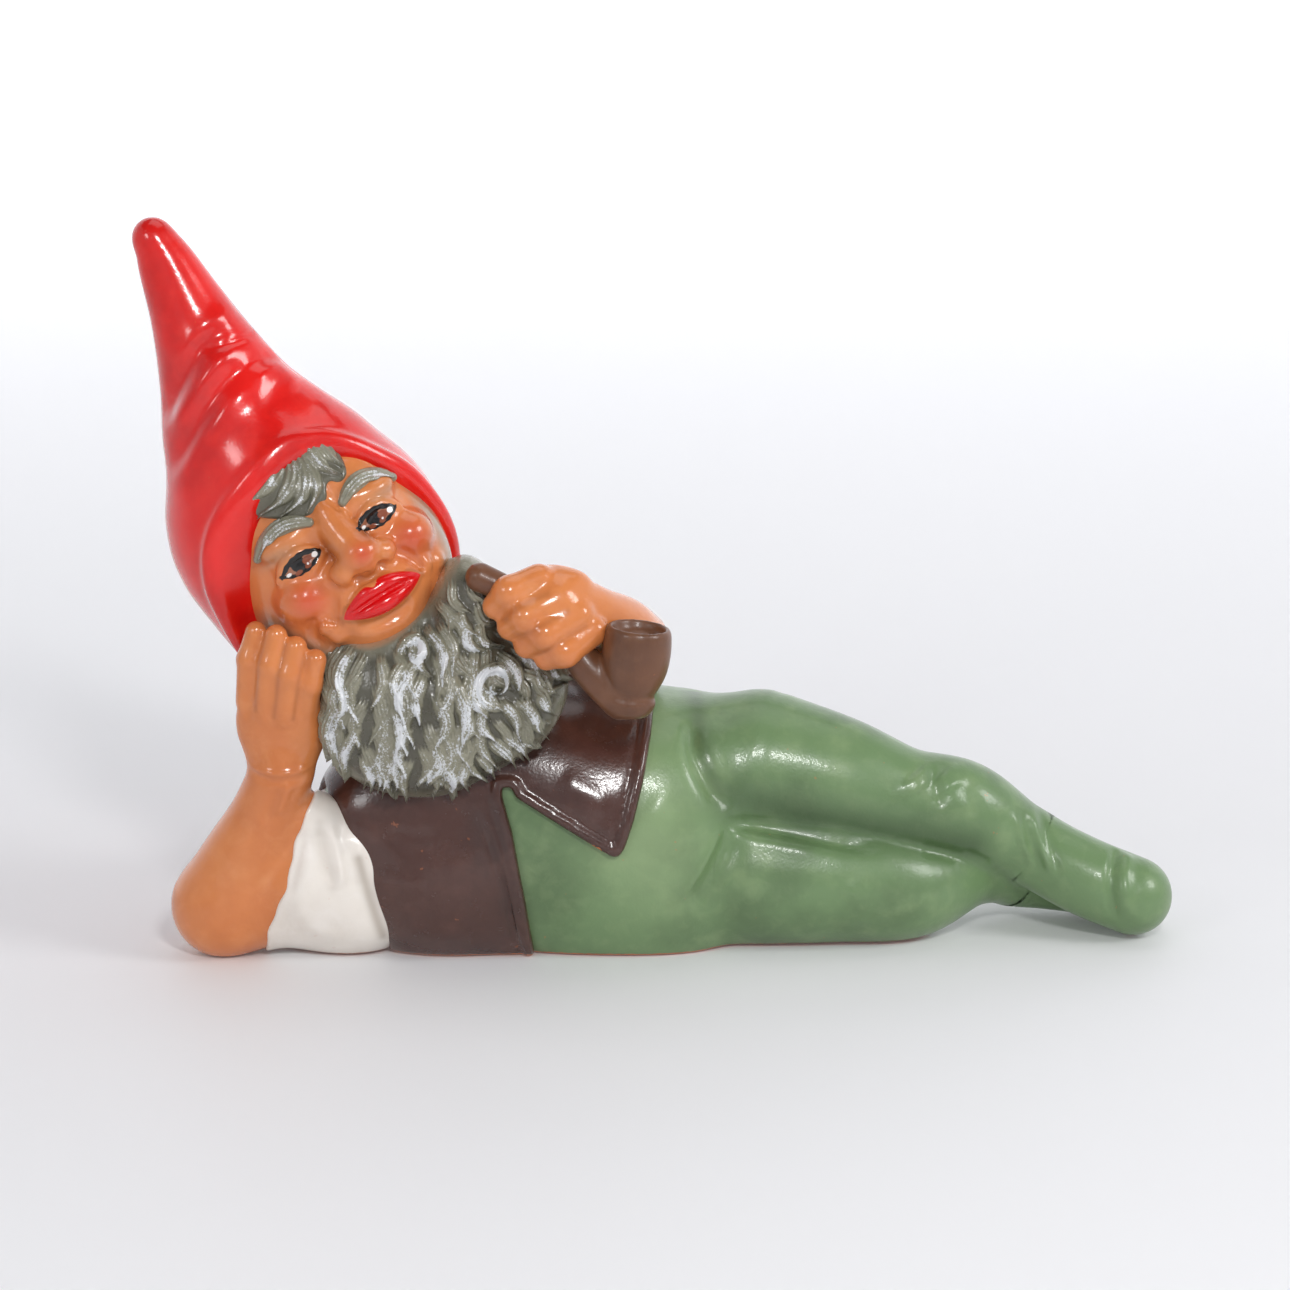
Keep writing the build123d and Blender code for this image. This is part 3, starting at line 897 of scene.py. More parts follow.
# ------------------------------------------------------------------ waistcoat
vest_front = (
    # the outline seen from the front, right and up from the hem
    (-150, 130), (1, 130), (1, 84), (-0.5, 72), (-3, 59), (-6, 47), (-9, 38), (-11, 35.5),
    (-13, 35.5), (-43, 54), (-44.5, 57), (-47, 57), (-47, 54), (-44, 43), (-40, 20), (-36, -10),
    (-84, -10), (-84, 4), (-88, 13), (-89.5, 22), (-92, 33), (-97, 44), (-104, 54), (-150, 64),
)
vest_folds = (
    (((-52, 50), (-47, 34), (-43, 18), (-41, 2)), 1.0, 0.9),
    (((-54.5, 50), (-49.5, 34), (-45.5, 18), (-43.5, 2)), 0.8, -0.7),
    (((-84, 44), (-76, 40), (-66, 42)), 3.6, -0.6),
    (((-88, 30), (-80, 26), (-70, 27)), 3.6, 0.6),
    (((-80, 12), (-68, 9), (-56, 11)), 3.6, 0.4),
    (((-30, 60), (-20, 54), (-13, 50)), 4.0, 0.7),
    (((-6, 84), (-12, 76), (-22, 72)), 3.0, -0.6),
)


def vest_limit(x, y, z):
    """Distance out of the waistcoat's outline; the back is cut straight across the hips."""
    right, up, out = front.local(x, y, z)
    outline = inside_outline(right, up, vest_front)
    back = np.maximum(right - 1.0, -110.0 - right) + 0.0 * up
    share = np.clip((18.0 - out) / 8.0, 0, 1) * (right < -60)
    share = np.maximum(share, np.clip((8.0 - out) / 16.0, 0, 1))
    share = share * share * (3 - 2 * share)
    return outline * (1 - share) + back * share


def vest_marks(points):
    """Bare clay on the edges of the hanging front and at the parting."""
    marks = worn_foot(points)
    x, y, z = (points - front.origin).T
    edge = inside_outline(x, z, vest_front)
    chipped = bell(x + 18, 5) * bell(z - 39, 3) + 0.6 * bell(np.hypot(x + 45, z - 52), 3.5)
    marks["wear"] = np.maximum(marks["wear"], 0.75 * chipped * bell(edge, 1.2) * (y < 0))
    return marks


def make_vest(whole):
    cloth = whole.copy()
    x, y, z = cloth.points()
    limit = vest_limit(x, y, z)
    band = 0.8 * bell(limit + 1.9, 1.5) - 0.6 * bell(limit + 4.4, 0.8)
    in_front = (x > -60) & (y < 0)
    cloth.field = soft_max(whole.field - 2.5 - band * in_front, limit, 1.6)
    above_floor(cloth, 1.5)
    cloth.field = np.maximum(cloth.field, -(whole.field + 1.2))
    shape = relief(cloth, front, vest_folds)
    piece("vest", cloth, "brown_enamel", vest_marks, shape, even=2)


# ------------------------------------------------------------------ head
upper_lip = (
    # across, up and out on the face, then the radius
    (-10.5, -19, 32.5, 0.8),
    (-7, -17.5, 34, 1.7),
    (-2.5, -16, 35, 2.5),
    (0.5, -16.5, 35.5, 2.2),
    (5, -16, 35, 2.5),
    (10, -18, 33.5, 1.7),
    (14, -19.5, 31.5, 0.8),
)
lower_lip = (
    (-10, -20, 32.5, 0.9),
    (-5, -21, 34.5, 2.1),
    (1, -21.5, 35.5, 2.7),
    (7, -21, 34.5, 2.2),
    (13, -20, 32, 0.9),
)
lips_parting = (
    (-11.5, -19.5, 33.5, 0.3),
    (-6, -19, 36, 0.5),
    (1, -18.5, 38, 0.5),
    (8, -19, 36, 0.5),
    (15, -20, 33, 0.3),
)
eyes = ((-14.3, 1.7, 0.10), (12.8, 1.9, -0.03))  # across, up, lean in radians
cheek_folds = (
    # a line across, up and out on the face, and the radius of the tool that draws it
    (((-9, -8.5, 34), (-12.5, -13, 33), (-14.5, -18, 31)), 0.8),
    (((12, -9, 33.5), (15.5, -13, 32.5), (17, -18, 30)), 0.8),
    (((-20.5, -16, 29), (-22.5, -20, 26), (-21, -24.5, 25)), 0.9),
    (((-8.5, -25, 33), (-1, -27, 34.5), (7, -26, 33.5)), 1.1),
    (((-4.5, 15, 33), (-5, 11, 33.5)), 0.5),
    (((3, 15, 33), (4, 11, 33.5)), 0.5),
    (((22.5, 3.5, 26.5), (26, 5, 24)), 0.4),
    (((23, 1, 26), (26.5, 0, 23.5)), 0.4),
)
dimples = (  # small balls of clay: across, up, out, radius
    (-17.5, -19, 28.5, 2.4),
    (-15.5, -23, 27.5, 2.4),
    (18.5, -18, 27.5, 2.3),
    (23, -19.5, 23, 2.4),
    (19, -25.5, 22.5, 2.8),
    (0, 7.5, 33, 1.8),
    (0.5, 11.5, 32, 2.0),
)


def curl(clay, line, soft, cut=False):
    """Joins or cuts a curved limb on the face; each point is across, up, out, radius."""
    line = rounded(np.array(line, float), 2)
    for start, end in zip(line, line[1:]):
        shape = Limb(head(*start[:3]), start[3], head(*end[:3]), end[3])
        if cut:
            clay.cut(shape, soft)
        else:
            clay.add(shape, soft)


def eyelids(clay, across, up, lean):
    """A heavy upper and a thin lower lid round one eye."""
    outer = -1 if across < 0 else 1
    cos, sin = math.cos(lean), math.sin(lean)
    upper = (
        # away from the nose, up and out, then the radius
        (-7.6, -1.2, 31, 0.7), (-4, 2.6, 31.5, 1.0), (0.4, 4, 31.5, 1.2), (4.6, 3, 29.5, 1.1),
        (8.2, -0.4, 27, 0.8),
    )
    lower = (
        (-6.8, -1.4, 31, 0.6), (-3, -3, 31, 0.8), (1, -4, 30, 0.9), (5, -3, 28.5, 0.8),
        (8, -0.6, 27, 0.6),
    )
    for lid in (upper, lower):
        line = [
            (across + r * outer * cos - u * sin, up + u * cos + r * outer * sin, f, radius)
            for r, u, f, radius in lid
        ]
        curl(clay, line, 1.8)


def nose(clay):
    """A straight bridge, a bulb and two wings with their nostrils."""
    bridge = (
        (0.3, 11.5, 31, 2.4), (0.4, 6.5, 31.5, 2.8), (0.8, 1.5, 33, 3.4), (2, -3.5, 35.5, 4.8),
    )
    curl(clay, bridge, 4.0)
    bulb_and_wings = (
        ((2, -4.6, 37), (6.6, 5.0, 5.0), 2.5),
        ((-5.2, -7.2, 33.8), (4.4, 3.8, 4.2), 2.6),
        ((8.8, -7.6, 33.8), (4.4, 3.8, 4.2), 2.6),
        ((2, -8.8, 35), (3.4, 2.4, 3.2), 2.2),
    )
    add_balls(clay, head, bulb_and_wings)
    for across in (-2.6, 6.2):
        clay.cut(Ball(head(across, -10.6, 35.8), (1.6, 1.0, 2.0), head), 1.4)


def head_lump():
    """The head without its hat and hair."""
    clay = Clay(head.origin - (41, 48, 76), head.origin + (50, 42, 42), 0.5)
    add_balls(clay, head, [(*ball, soft) for ball, soft in zip(skull, (0, 8, 8))], 14.0)
    cheeks_chin_and_mouth = (
        ((-18, -16, 10), (13, 17, 16), 8),
        (*left_cheek, 8),
        (*chin, 9),
        ((1.4, -18.5, 26.6), (16, 9.5, 8.4), 7),
    )
    add_balls(clay, head, cheeks_chin_and_mouth, 14.0)
    for side in (-1, 1):
        for cut, centre, radii, soft in (
            (True, (13.4, 2.6, 37.2), (9.6, 7.0, 6.6), 6),  # eye socket
            (True, (6.4, 0.0, 37.4), (3.6, 7.0, 5.0), 5),  # beside the nose
            (False, (14.5, 9.4, 25.6), (9.0, 4.2, 6.2), 4),  # brow
            (False, (13.5, 1.6, 24.0), (9.2, 6.4, 8.0), 2.2),  # eyeball
            (False, (19.0, -8.0, 24.8), (8.2, 7.6, 8.6), 3.2),  # cheek
            (False, (13.0, -5.2, 27.6), (7.4, 2.4, 3.6), 3),  # bag under the eye
        ):
            centre = (0.2 + side * centre[0], *centre[1:])
            (clay.cut if cut else clay.add)(Ball(head(*centre), radii, head), soft)
    for eye in eyes:
        eyelids(clay, *eye)
    nose(clay)
    for across, up, out, radius in dimples:
        clay.add(Ball(head(across, up, out), radius), 2.4)
    for line, radius in cheek_folds:
        curl(clay, [(*point, radius) for point in line], 2.2, cut=True)
    clay.cut(Limb(head(0.6, -11, 37), 0.7, head(0.5, -14, 37.5), 0.9), 1.8)
    curl(clay, upper_lip, 1.0)
    curl(clay, lower_lip, 1.0)
    curl(clay, lips_parting, 0.9, cut=True)
    return clay


def lips(across, up):
    """Distance out of the painted lips: two swelling edges, with a notch in the upper one."""
    share = np.clip((across + 12.0) / 27.5, 0, 1)
    swell = np.sin(math.pi * share)
    middle = -19.5 - 0.5 * share
    top = middle + 6.3 * swell**0.7 * (1 - 0.28 * bell(share - 0.45, 0.06))
    foot = middle - 4.6 * swell**0.8
    ends = np.abs(across - 1.75) - 13.75
    return np.maximum(np.maximum(up - top, foot - up), ends)


def almond(across, up):
    """Distance out of an eye's painted outline, in the eye's own flat frame."""
    share = np.clip(np.abs(across) / 6.9, 0, 1)
    top = 2.9 * (1 - share**2.2) ** 0.85
    foot = -2.4 * (1 - share**2.0) ** 0.9
    side = (np.abs(across) - 6.9) * 0.8
    return np.maximum(np.maximum(up - top, foot - up), side)


def painted(distance, front_side):
    """A distance out of a painted patch as a mark: one at the patch's edge, more inside."""
    return np.clip(1.0 - np.where(front_side, distance, 9.0), 0.0, 3.0)


def eye_marks(across, up, front_side):
    """The eyes: outline, a black iris with brown crescents, and white glints."""
    spots = {  # across, up, half width and half height of each oval
        "eye_line": ((-0.9, 0.5, 2.35, 2.3),),
        "eye_brown": ((2.2, 0.2, 1.7, 1.25), (-2.2, -1.6, 1.3, 0.7), (1.3, -1.5, 1.1, 0.7)),
        "eye_glint": ((-5.0, -0.5, 0.9, 0.55), (4.9, 0.2, 1.0, 0.9), (1.6, -0.9, 0.42, 0.38)),
    }
    shapes = {name: np.full(len(across), 9.0) for name in ("eye", *spots)}
    for centre, height, lean in eyes:
        a = (across - centre) * math.cos(lean) + (up - height) * math.sin(lean)
        b = (up - height) * math.cos(lean) - (across - centre) * math.sin(lean)
        edge = almond(a, b)
        thick = 0.62 + 0.25 * (b > 0.4) + 0.12 * np.sin(a * 2.3)
        shapes["eye"] = np.minimum(shapes["eye"], edge)
        shapes["eye_line"] = np.minimum(shapes["eye_line"], np.abs(edge + 0.1) - thick)
        for name, ovals in spots.items():
            for x, y, wide, high in ovals:
                ring = np.hypot((a - x) / wide, (b - y) / high)
                shapes[name] = np.minimum(shapes[name], (ring - 1.0) * min(wide, high))
    return {name: painted(shape, front_side) for name, shape in shapes.items()}


nape = Place(head(0, -4, 0), -head.right, head.up)  # faces backwards
nape_locks = [
    (((r, 4), (r + 1.5, -8), (r - 1.0, -20), (r + 0.5, -32 + abs(r) / 4)), 3.4, 1.6)
    for r in range(-30, 31, 5)
]


def head_marks(points):
    """Where the eyes, the lips, the red cheeks, the grey of beard and hair, and painted shade in
    the face's hollows are painted.
    """
    marks = no_marks(points)
    away = points - head.origin
    r, u, f = away @ head.right, away @ head.up, away @ head.out
    in_front = np.clip((f - 8) / 8, 0, 1)
    for across, up, size in ((-18.4, -8.6, 7.0), (19.2, -8.6, 7.0), (2.2, -4.6, 4.0)):
        red_spot = bell(np.hypot(r - across, u - up), size) * in_front
        marks["blush"] = np.maximum(marks["blush"], red_spot)
    mouth = lips(r, u)
    marks["lips"] = painted(mouth, f > 15)
    marks.update(eye_marks(r, u, f > 15))
    jaw = np.hypot((r - 1.0) / 31.0, (u + 3.0) / 31.5)
    grey = np.clip((jaw - 0.90) / 0.17, 0, 1) * np.clip((-4 - u) / 6, 0, 1)
    grey = np.maximum(grey, np.clip((np.abs(r) - 25) / 5, 0, 1) * (u < 8) * (r > 0))
    over_brow = np.hypot((np.abs(r) - 19.5) / 7.0, (u - 7.4) / 2.6)
    grey = np.maximum(grey * in_front, 0.45 * bell(over_brow, 1.0) * in_front)
    behind = np.clip((10 - f) / 4, 0, 1) * np.clip((points[:, 2] - 76) / 4, 0, 1)
    marks["grey"] = np.maximum(grey, behind)
    # painted shade beside the nose, under it and along the lips' edge
    hollow = bell(np.abs(r - 0.4) - 6.2, 2.2) * bell(u - 0.8, 4.0)
    hollow = np.maximum(hollow, 0.8 * bell(u + 11.8, 1.6) * bell(r - 1, 6))
    around_mouth = 0.7 * bell(mouth - 0.6, 0.9) * (u < -16)
    marks["shade"] = np.maximum(hollow, around_mouth) * in_front
    return marks


def make_head():
    clay = head_lump()
    clay.add(Limb(front(-76, 72, 2), 18.0, head(0, -12, -6), 22.0), 6.0)
    combed = Locks(nape, nape_locks, strand=2.0).shape(clay)
    piece("head", clay, "skin_enamel", head_marks, combed)


# ------------------------------------------------------------------ hat
hat_stations = (
    # along from the head's middle, right, up, half width, half depth
    (-34, -4, -3, 33, 28.5),
    (-17.5, -3.5, -3, 37.5, 32.5),
    (-3, -4, -3, 39.5, 34.5),
    (12.5, -5, -3, 40, 35.5),
    (22, -6, -2, 38, 34),
    (32, -6, -1, 34.5, 30),
    (44.5, -5.5, 0, 27.5, 25),
    (54.5, -5.5, 0, 23, 21),
    (69, -3.5, 0, 17.5, 16.5),
    (88, -1, 0, 12, 11.5),
    (104, 0.5, 0, 8.5, 8),
    (111, 1, 0, 6.5, 6.5),
)
hat_line = Place(head.origin, across_head, np.cross(head_up, across_head))
hat_folds = (
    # points right and up from the hat's lowest corner, width, height
    (((32, 111), (23, 106), (18, 98), (12, 87), (8, 77)), 2.8, -1.9),
    (((35, 116), (27, 112), (20, 106), (14, 97)), 3.2, 0.8),
    (((35, 105), (27, 99), (21, 90), (13, 76)), 3.0, 1.4),
    (((40, 101), (31, 95), (24, 86), (17, 73), (10, 61)), 3.0, -1.5),
    (((45, 96), (36, 92), (28, 84), (19, 72), (11, 54)), 4.0, 1.0),
    (((22, 103), (31, 105), (42, 108)), 1.2, -0.6),
    (((37, 94), (45, 97), (54, 92)), 3.0, 1.0),
    (((35, 99), (46, 101), (56, 95)), 2.2, -0.9),
    (((39, 87), (49, 87), (61, 82)), 4.4, -0.7),
)


def brim_distance(x, y, z):
    """How far a point is in front of the brim: a bowed plane from the forehead to the nape."""
    r, u, f = head.local(x, y, z)
    lean = unit(vec(25.0, -44.0))
    flat = -((u - 27.5) * lean[0] + (f - 29.0) * lean[1])
    wave = 0.9 * np.sin(r * 0.16 + 0.6)
    bow = 0.0012 * np.minimum(r - 2.0, 0.0) ** 2 + 0.0042 * np.maximum(r - 4.0, 0.0) ** 2
    return flat - bow + wave


def make_hat():
    clay = box_clay(hat_foot, (-3, -5, -42), (108, 141, 46), 0.62)
    clay.add(Loft(hat_line, hat_stations, round_ends=6.0), reach=30)
    clay.add(Ball(hat_line(0.8, 0, 110.5), 6.4), 3.0)
    clay.add(Ball(head(2, -2, -6), (35, 36, 33), head), 8.0, reach=12.0)
    edge = brim_distance(*clay.points())
    rolled = clay.field - 1.3 * bell(edge + 3.0, 2.4)
    clay.field = soft_max(rolled, edge, 2.2)
    inner = clay.empty()
    for centre, radii in skull:
        inner.add(Ball(head(*centre), np.array(radii) - 0.8, head), 8, reach=14)
    clay.field = np.maximum(clay.field, -inner.field)
    shape = relief(clay, hat_foot, hat_folds)
    piece("hat", clay, "red_enamel", no_marks, shape, even=2)


# ------------------------------------------------------------------ the arm that props the head
upper_arm = (  # right, up and out from the forearm's lowest corner, then the radius
    ((71, 36, -38), 20.0),
    ((51, 27, -29), 21.0),
    ((34, 20, -25), 17.8),
    ((18, 15.5, -23), 16.2),
)
forearm = (
    ((17.5, 15.5, -23), 16.4),
    ((25, 31, -20), 14.2),
    ((31.5, 46, -16), 11.4),
    ((37.5, 62, -12.5), 10.0),
)
fingers = (  # foot of the finger, its middle and its tip, with radii
    (((27.5, 85, -11), 3.9), ((28.5, 99, -8), 3.9), ((30.5, 107.5, -9), 3.3)),
    (((33, 82, -8), 4.1), ((35, 98, -5), 4.1), ((37, 107, -6), 3.5)),
    (((39, 81, -7), 4.2), ((41, 95, -4), 4.2), ((43, 103.5, -5), 3.6)),
    (((45, 81, -9), 4.1), ((47, 92, -5), 4.0), ((49, 99.5, -5), 3.5)),
)
wrist_folds = (
    (((26, 65.5), (37, 63), (49, 65.5)), 0.9, 0.7),
    (((27, 63), (38, 60.5), (48, 62.5)), 1.4, -0.6),
    (((41, 62), (38.5, 56), (36, 49)), 1.6, 0.9),
    (((37, 60), (34.5, 52), (32, 46)), 1.8, -0.6),
)
sleeve_folds = (
    (((51, 47), (54, 38), (56, 29), (54, 24)), 1.6, 1.0),
    (((49, 46), (50, 36), (53, 26)), 2.0, -1.0),
    (((57, 40), (59.5, 30), (59.5, 22)), 2.2, -0.9),
    (((45, 46), (42, 34), (38, 20)), 1.4, -0.6),
    (((47, 40), (44, 28), (42, 15)), 3.0, 0.7),
    (((41, 22), (45, 12), (55, 8)), 3.0, 0.6),
)


def arm_lump():
    """The upper arm and forearm, with the inside of the elbow filled."""
    clay = box_clay(elbow, (-5, -3, -62), (83, 116, 5), 0.6)
    chain(clay, elbow, upper_arm)
    chain(clay, elbow, forearm, soft=3.0)
    clay.add(Limb(elbow(42, 27, -22), 14.5, elbow(45.5, 44, -18), 9.2), 5.0)
    clay.add(Ball(elbow(56, 14, -31), (24, 21, 16)), 6.0)
    return clay


def sleeve_edge(x, y, z):
    """Distance to the skin's side of the sleeve's edge, wavy like pressed cloth."""
    right, up, out = elbow.local(x, y, z)
    lean = math.radians(17)
    along = (up - 52) * math.cos(lean) + (right - 45.5) * math.sin(lean)
    across = (right - 45.5) * math.cos(lean) - (up - 52) * math.sin(lean)
    return 0.25 * np.sin(along * 0.62) + 0.6 * np.sin(along * 0.21 + 1.0) - across


def sleeve_marks(points):
    """Painted shade in the folds, and brown from the waistcoat along the seam."""
    marks = worn_foot(points)
    fold = flat_distance(elbow, points, ((49, 46), (50, 36), (53, 26)))
    seam = flat_distance(elbow, points, ((61, 34), (64, 22), (68, 8)))
    # the shade mark holds both: painted shade in the fold and the brown line of the seam
    marks["shade"] = np.maximum(0.35 * bell(fold, 1.8) * (points[:, 1] < -10), bell(seam, 1.6))
    return marks


def add_fingers(clay, place, rows, soft):
    """Joins bent fingers to the clay; each is a row of points on a place, with radii."""
    for finger in rows:
        for (start, start_radius), (end, end_radius) in zip(finger, finger[1:]):
            clay.add(Limb(place(*start), start_radius, place(*end), end_radius), soft)


def between_fingers(place, rows, width, deepest):
    """Painted shade: brown darkening in the gaps between neighbouring fingers."""

    def marks(points):
        result = worn_foot(points)
        outward = (points - place.origin) @ place.out
        for one, two in zip(rows, rows[1:]):
            gap = [0.5 * (vec(*a[0][:2]) + vec(*b[0][:2])) for a, b in zip(one, two)]
            # painted shade along each gap between two fingers
            painted_gap_shade = 0.45 * bell(flat_distance(place, points, gap), width)
            result["shade"] = np.maximum(result["shade"], painted_gap_shade * (outward > deepest))
        return result

    return marks


def make_propping_arm():
    bare = arm_lump()
    above_floor(bare, 1.2)
    edge = sleeve_edge(*bare.points())
    sleeve = bare.copy()
    sleeve.field = soft_max(sleeve.field - 0.9, edge, 1.2)
    above_floor(sleeve, 1.2)
    shape = relief(sleeve, elbow, sleeve_folds)
    piece("propping_sleeve", sleeve, "white_enamel", sleeve_marks, shape, even=2)
    arm = bare.copy()
    arm.field = np.maximum(arm.field, -edge - 1.5)
    arm.add(Ball(elbow(37, 78, -12.5), (13.6, 8.4, 16.5)), 6.0)
    arm.add(Ball(elbow(44, 82, -16), (8.5, 9.0, 16.0)), 5.0)
    add_fingers(arm, elbow, fingers, 1.4)
    marks = between_fingers(elbow, fingers, 0.7, -20)
    shape = relief(arm, elbow, wrist_folds)
    piece("propping_forearm", arm, "skin_enamel", marks, shape)


# ------------------------------------------------------------------ pipe and the hand on it
stem = (  # right, up and out from the middle of the fist's box, then the radius
    ((16, -19, -4), 6.0),
    ((7, -10, -5), 5.6),
    ((-2, 1, -8), 4.6),
    ((-16, 13, -10), 4.0),
    ((-27, 18, -11), 4.6),
)
bowl_profile = (  # up the bowl, radius
    (0.0, 4.4), (2.0, 6.2), (5.0, 7.4), (7.6, 6.8), (10.0, 8.0), (14.0, 9.6),
    (18.5, 10.4), (23.5, 10.5), (27.5, 10.0), (29.4, 9.4),
)
dish_profile = ((24.0, 4.6), (26.0, 7.0), (29.0, 8.4), (34.0, 9.0))
fist = (
    ((-4, 10, -12), 11.2),
    ((7, 3, -18), 10.8),
    ((16, -2, -28), 10.0),
    ((21, -9, -40), 10.0),
)
bent_fingers = (  # knuckle, middle and tip, with radii
    (((-9, 18, -8), 5.0), ((-18, 15, -4), 4.9), ((-22, 10, -7), 4.3)),
    (((-3, 12.5, -6), 5.1), ((-13, 8, -1), 5.0), ((-17.5, 4, -5), 4.4)),
    (((3, 7.5, -5), 5.0), ((-7, 3, 0), 4.9), ((-12.5, -1.5, -4), 4.3)),
    (((7.5, 2.5, -5.5), 4.8), ((-1, -3, -1), 4.7), ((-6.5, -5.5, -4), 4.1)),
)
pipe_arm = (
    ((-32, -29, -64), 16.5),
    ((-8, -27, -68), 15.5),
    ((11, -25, -65), 14.5),
    ((18, -19, -53), 13.0),
    ((20, -13, -44), 11.8),
)


def make_pipe():
    clay = box_clay(grip, (-36, -29, -20), (37, 27, 12), 0.42)
    chain(clay, grip, stem)
    lean = unit(vec(0.10, 0.0, 1.0))
    bowl = Place(spot("pipe", 0.80, 0.42, 0.03), -FRONT, np.cross(lean, -FRONT))
    outside, inside = (
        [(up, 0, 0, radius, radius) for up, radius in profile]
        for profile in (bowl_profile, dish_profile)
    )
    clay.add(Loft(bowl, outside, round_ends=2.2), 2.0)
    clay.cut(Loft(bowl, inside, round_ends=2.4), 1.2)
    piece("pipe", clay, "pipe_enamel", no_marks)


def make_pipe_hand():
    clay = box_clay(grip, (-32, -23, -60), (38, 30, 12), 0.5)
    chain(clay, grip, fist)
    clay.add(Ball(grip(-5, 5, -9), (11, 9, 12)), 6.0)
    add_fingers(clay, grip, bent_fingers, 1.8)
    clay.add(Limb(grip(2, 15, -12), 4.6, grip(-10, 17, -14), 4.0), 3.0)
    marks = between_fingers(grip, bent_fingers, 1.0, -8)
    piece("pipe_hand", clay, "skin_enamel", marks, even=2)


def make_pipe_sleeve():
    clay = box_clay(grip, (-52, -46, -90), (38, 17, -20), 0.7)
    chain(clay, grip, pipe_arm)
    piece("pipe_sleeve", clay, "white_enamel", no_marks)


# ------------------------------------------------------------------ hair
beard_outline = rounded(vec(
    # right and up from the foot of the beard
    (-34, 62), (-34, 22), (-31, 10), (-18, 0), (2, -4), (16, 0), (29, 6), (40, 20),
    (46, 34), (42, 48), (27, 62), (15, 75), (7, 74), (-2, 58), (-16, 49), (-26, 52),
), 2, closed=True)
beard_lumps = (  # centre from the foot of the beard, radii, and how softly it joins
    ((-3.5, 25, -27), (33, 23, 29), 0),
    ((22.5, 28, -28), (24, 19, 19), 8),
    ((-17.5, 29, -28), (18, 17, 26), 8),
    ((12.5, 53, -29), (13, 14, 22), 8),
    ((28.5, 44, -32), (17, 11, 16), 8),
)


def lock_line(right, up, heading, bend, wave, long):
    """A lock's middle line: it starts with a heading from straight down, bends and waves."""
    line = [(right, up)]
    steps = 6
    for step in range(steps):
        share = (step + 0.5) / steps
        angle = heading + bend * share**1.5 + wave * math.sin(2 * math.pi * share)
        right += long / steps * math.sin(angle)
        up -= long / steps * math.cos(angle)
        line.append((right, up))
    return line


def beard_locks():
    """Long wavy locks that fall from the jaw and fan out; those on the right curl upwards."""
    random = np.random.default_rng(11)
    made = []
    for row in range(10):
        for column in range(20):
            right = -34 + 4.1 * column + 2.0 * (row % 2) + random.uniform(-0.9, 0.9)
            up = 74 - 6.6 * row + random.uniform(-2.0, 2.0)
            if inside_outline(vec(right), vec(up), beard_outline)[0] > -1.5:
                continue
            # aside is 1 at the right edge, low_down is 1 at the foot of the beard
            aside = np.clip((right - 6) / 32, 0, 1)
            heading = -0.10 + 0.8 * aside + 0.6 * np.clip((up - 46) / 14, 0, 1) * (right > -4)
            low_down = np.clip((26 - up) / 20, 0, 1)
            bend = random.uniform(-0.3, 0.3) + 0.9 * aside + 0.7 * low_down * (right < -12)
            swing = math.sin(0.33 * right + 0.9 * math.sin(0.12 * up))
            wave = 0.55 * (1 if swing > 0 else -1) + random.uniform(-0.15, 0.15)
            long = random.uniform(17, 25) * (1 - 0.35 * np.clip((up - 44) / 20, 0, 1) - 0.3 * aside)
            line = [
                (x, z)
                for x, z in lock_line(right, up, heading, bend, wave, long)
                if inside_outline(vec(x), vec(z), beard_outline)[0] < -1.3
            ]
            if len(line) > 3:
                made.append((line, random.uniform(1.8, 2.7), random.uniform(1.4, 3.1)))
    turns = np.linspace(0, 1, 12)
    for right, up, size, start in ((22, 37, 7.5, 0.9), (-3, 47, 4.5, 2.4)):
        reach = size * (1 - 0.8 * turns)
        angle = start + 2 * math.pi * 1.35 * turns
        spiral = np.stack([right + reach * np.cos(angle), up - reach * np.sin(angle)], axis=1)
        made.append((spiral, 2.2, 3.4))
    return made


def make_beard():
    clay = box_clay(beard, (-38, -10, -58), (49, 80, 9), 0.42)
    for centre, radii, soft in beard_lumps:
        clay.add(Ball(beard(*centre), radii), soft, reach=14)
    for centre, radii in (skull[1], chin, left_cheek):
        clay.add(Ball(head(*centre), np.array(radii) + 0.2, head), 7.0, reach=12.0)
    right, up, out = beard.local(*clay.points())
    outline = inside_outline((right + 0 * up)[:, :1], (up + 0 * right)[:, :1], beard_outline)
    clay.field = soft_max(clay.field, outline + 0.0 * out, 4.5)
    clay.field = np.maximum(clay.field, -45.0 - out)
    hairs = Locks(beard, beard_locks())

    def marks(points):
        result = no_marks(points)
        high = hairs.height(points)
        x, z = beard.flat(points).T
        edge = -inside_outline(x, z, beard_outline)
        combed = np.clip((edge - 1.0) / 5.0, 0, 1)
        # painted shadow behind the fist: darker there, with no white on the ridges
        shadow_behind_fist = np.clip((z - 0.5 * x - 31) / 4, 0, 1) * (x > 20)
        ridge = np.clip((high - 0.9) / 2.0, 0, 1) * (0.4 + 0.6 * combed)
        result["ridge"] = ridge * (1 - shadow_behind_fist)
        # painted shade in the crevices between the locks
        crevice = np.clip(1.0 - high / 0.7, 0, 1) * combed
        result["shade"] = np.maximum(crevice, 0.9 * shadow_behind_fist)
        result["flesh"] = np.clip(1.0 - edge / 3.0, 0, 1) * (z > 44) * (x > -24) * (x < 6)
        return result

    piece("beard", clay, "hair_enamel", marks, hairs.shape(clay), even=2)


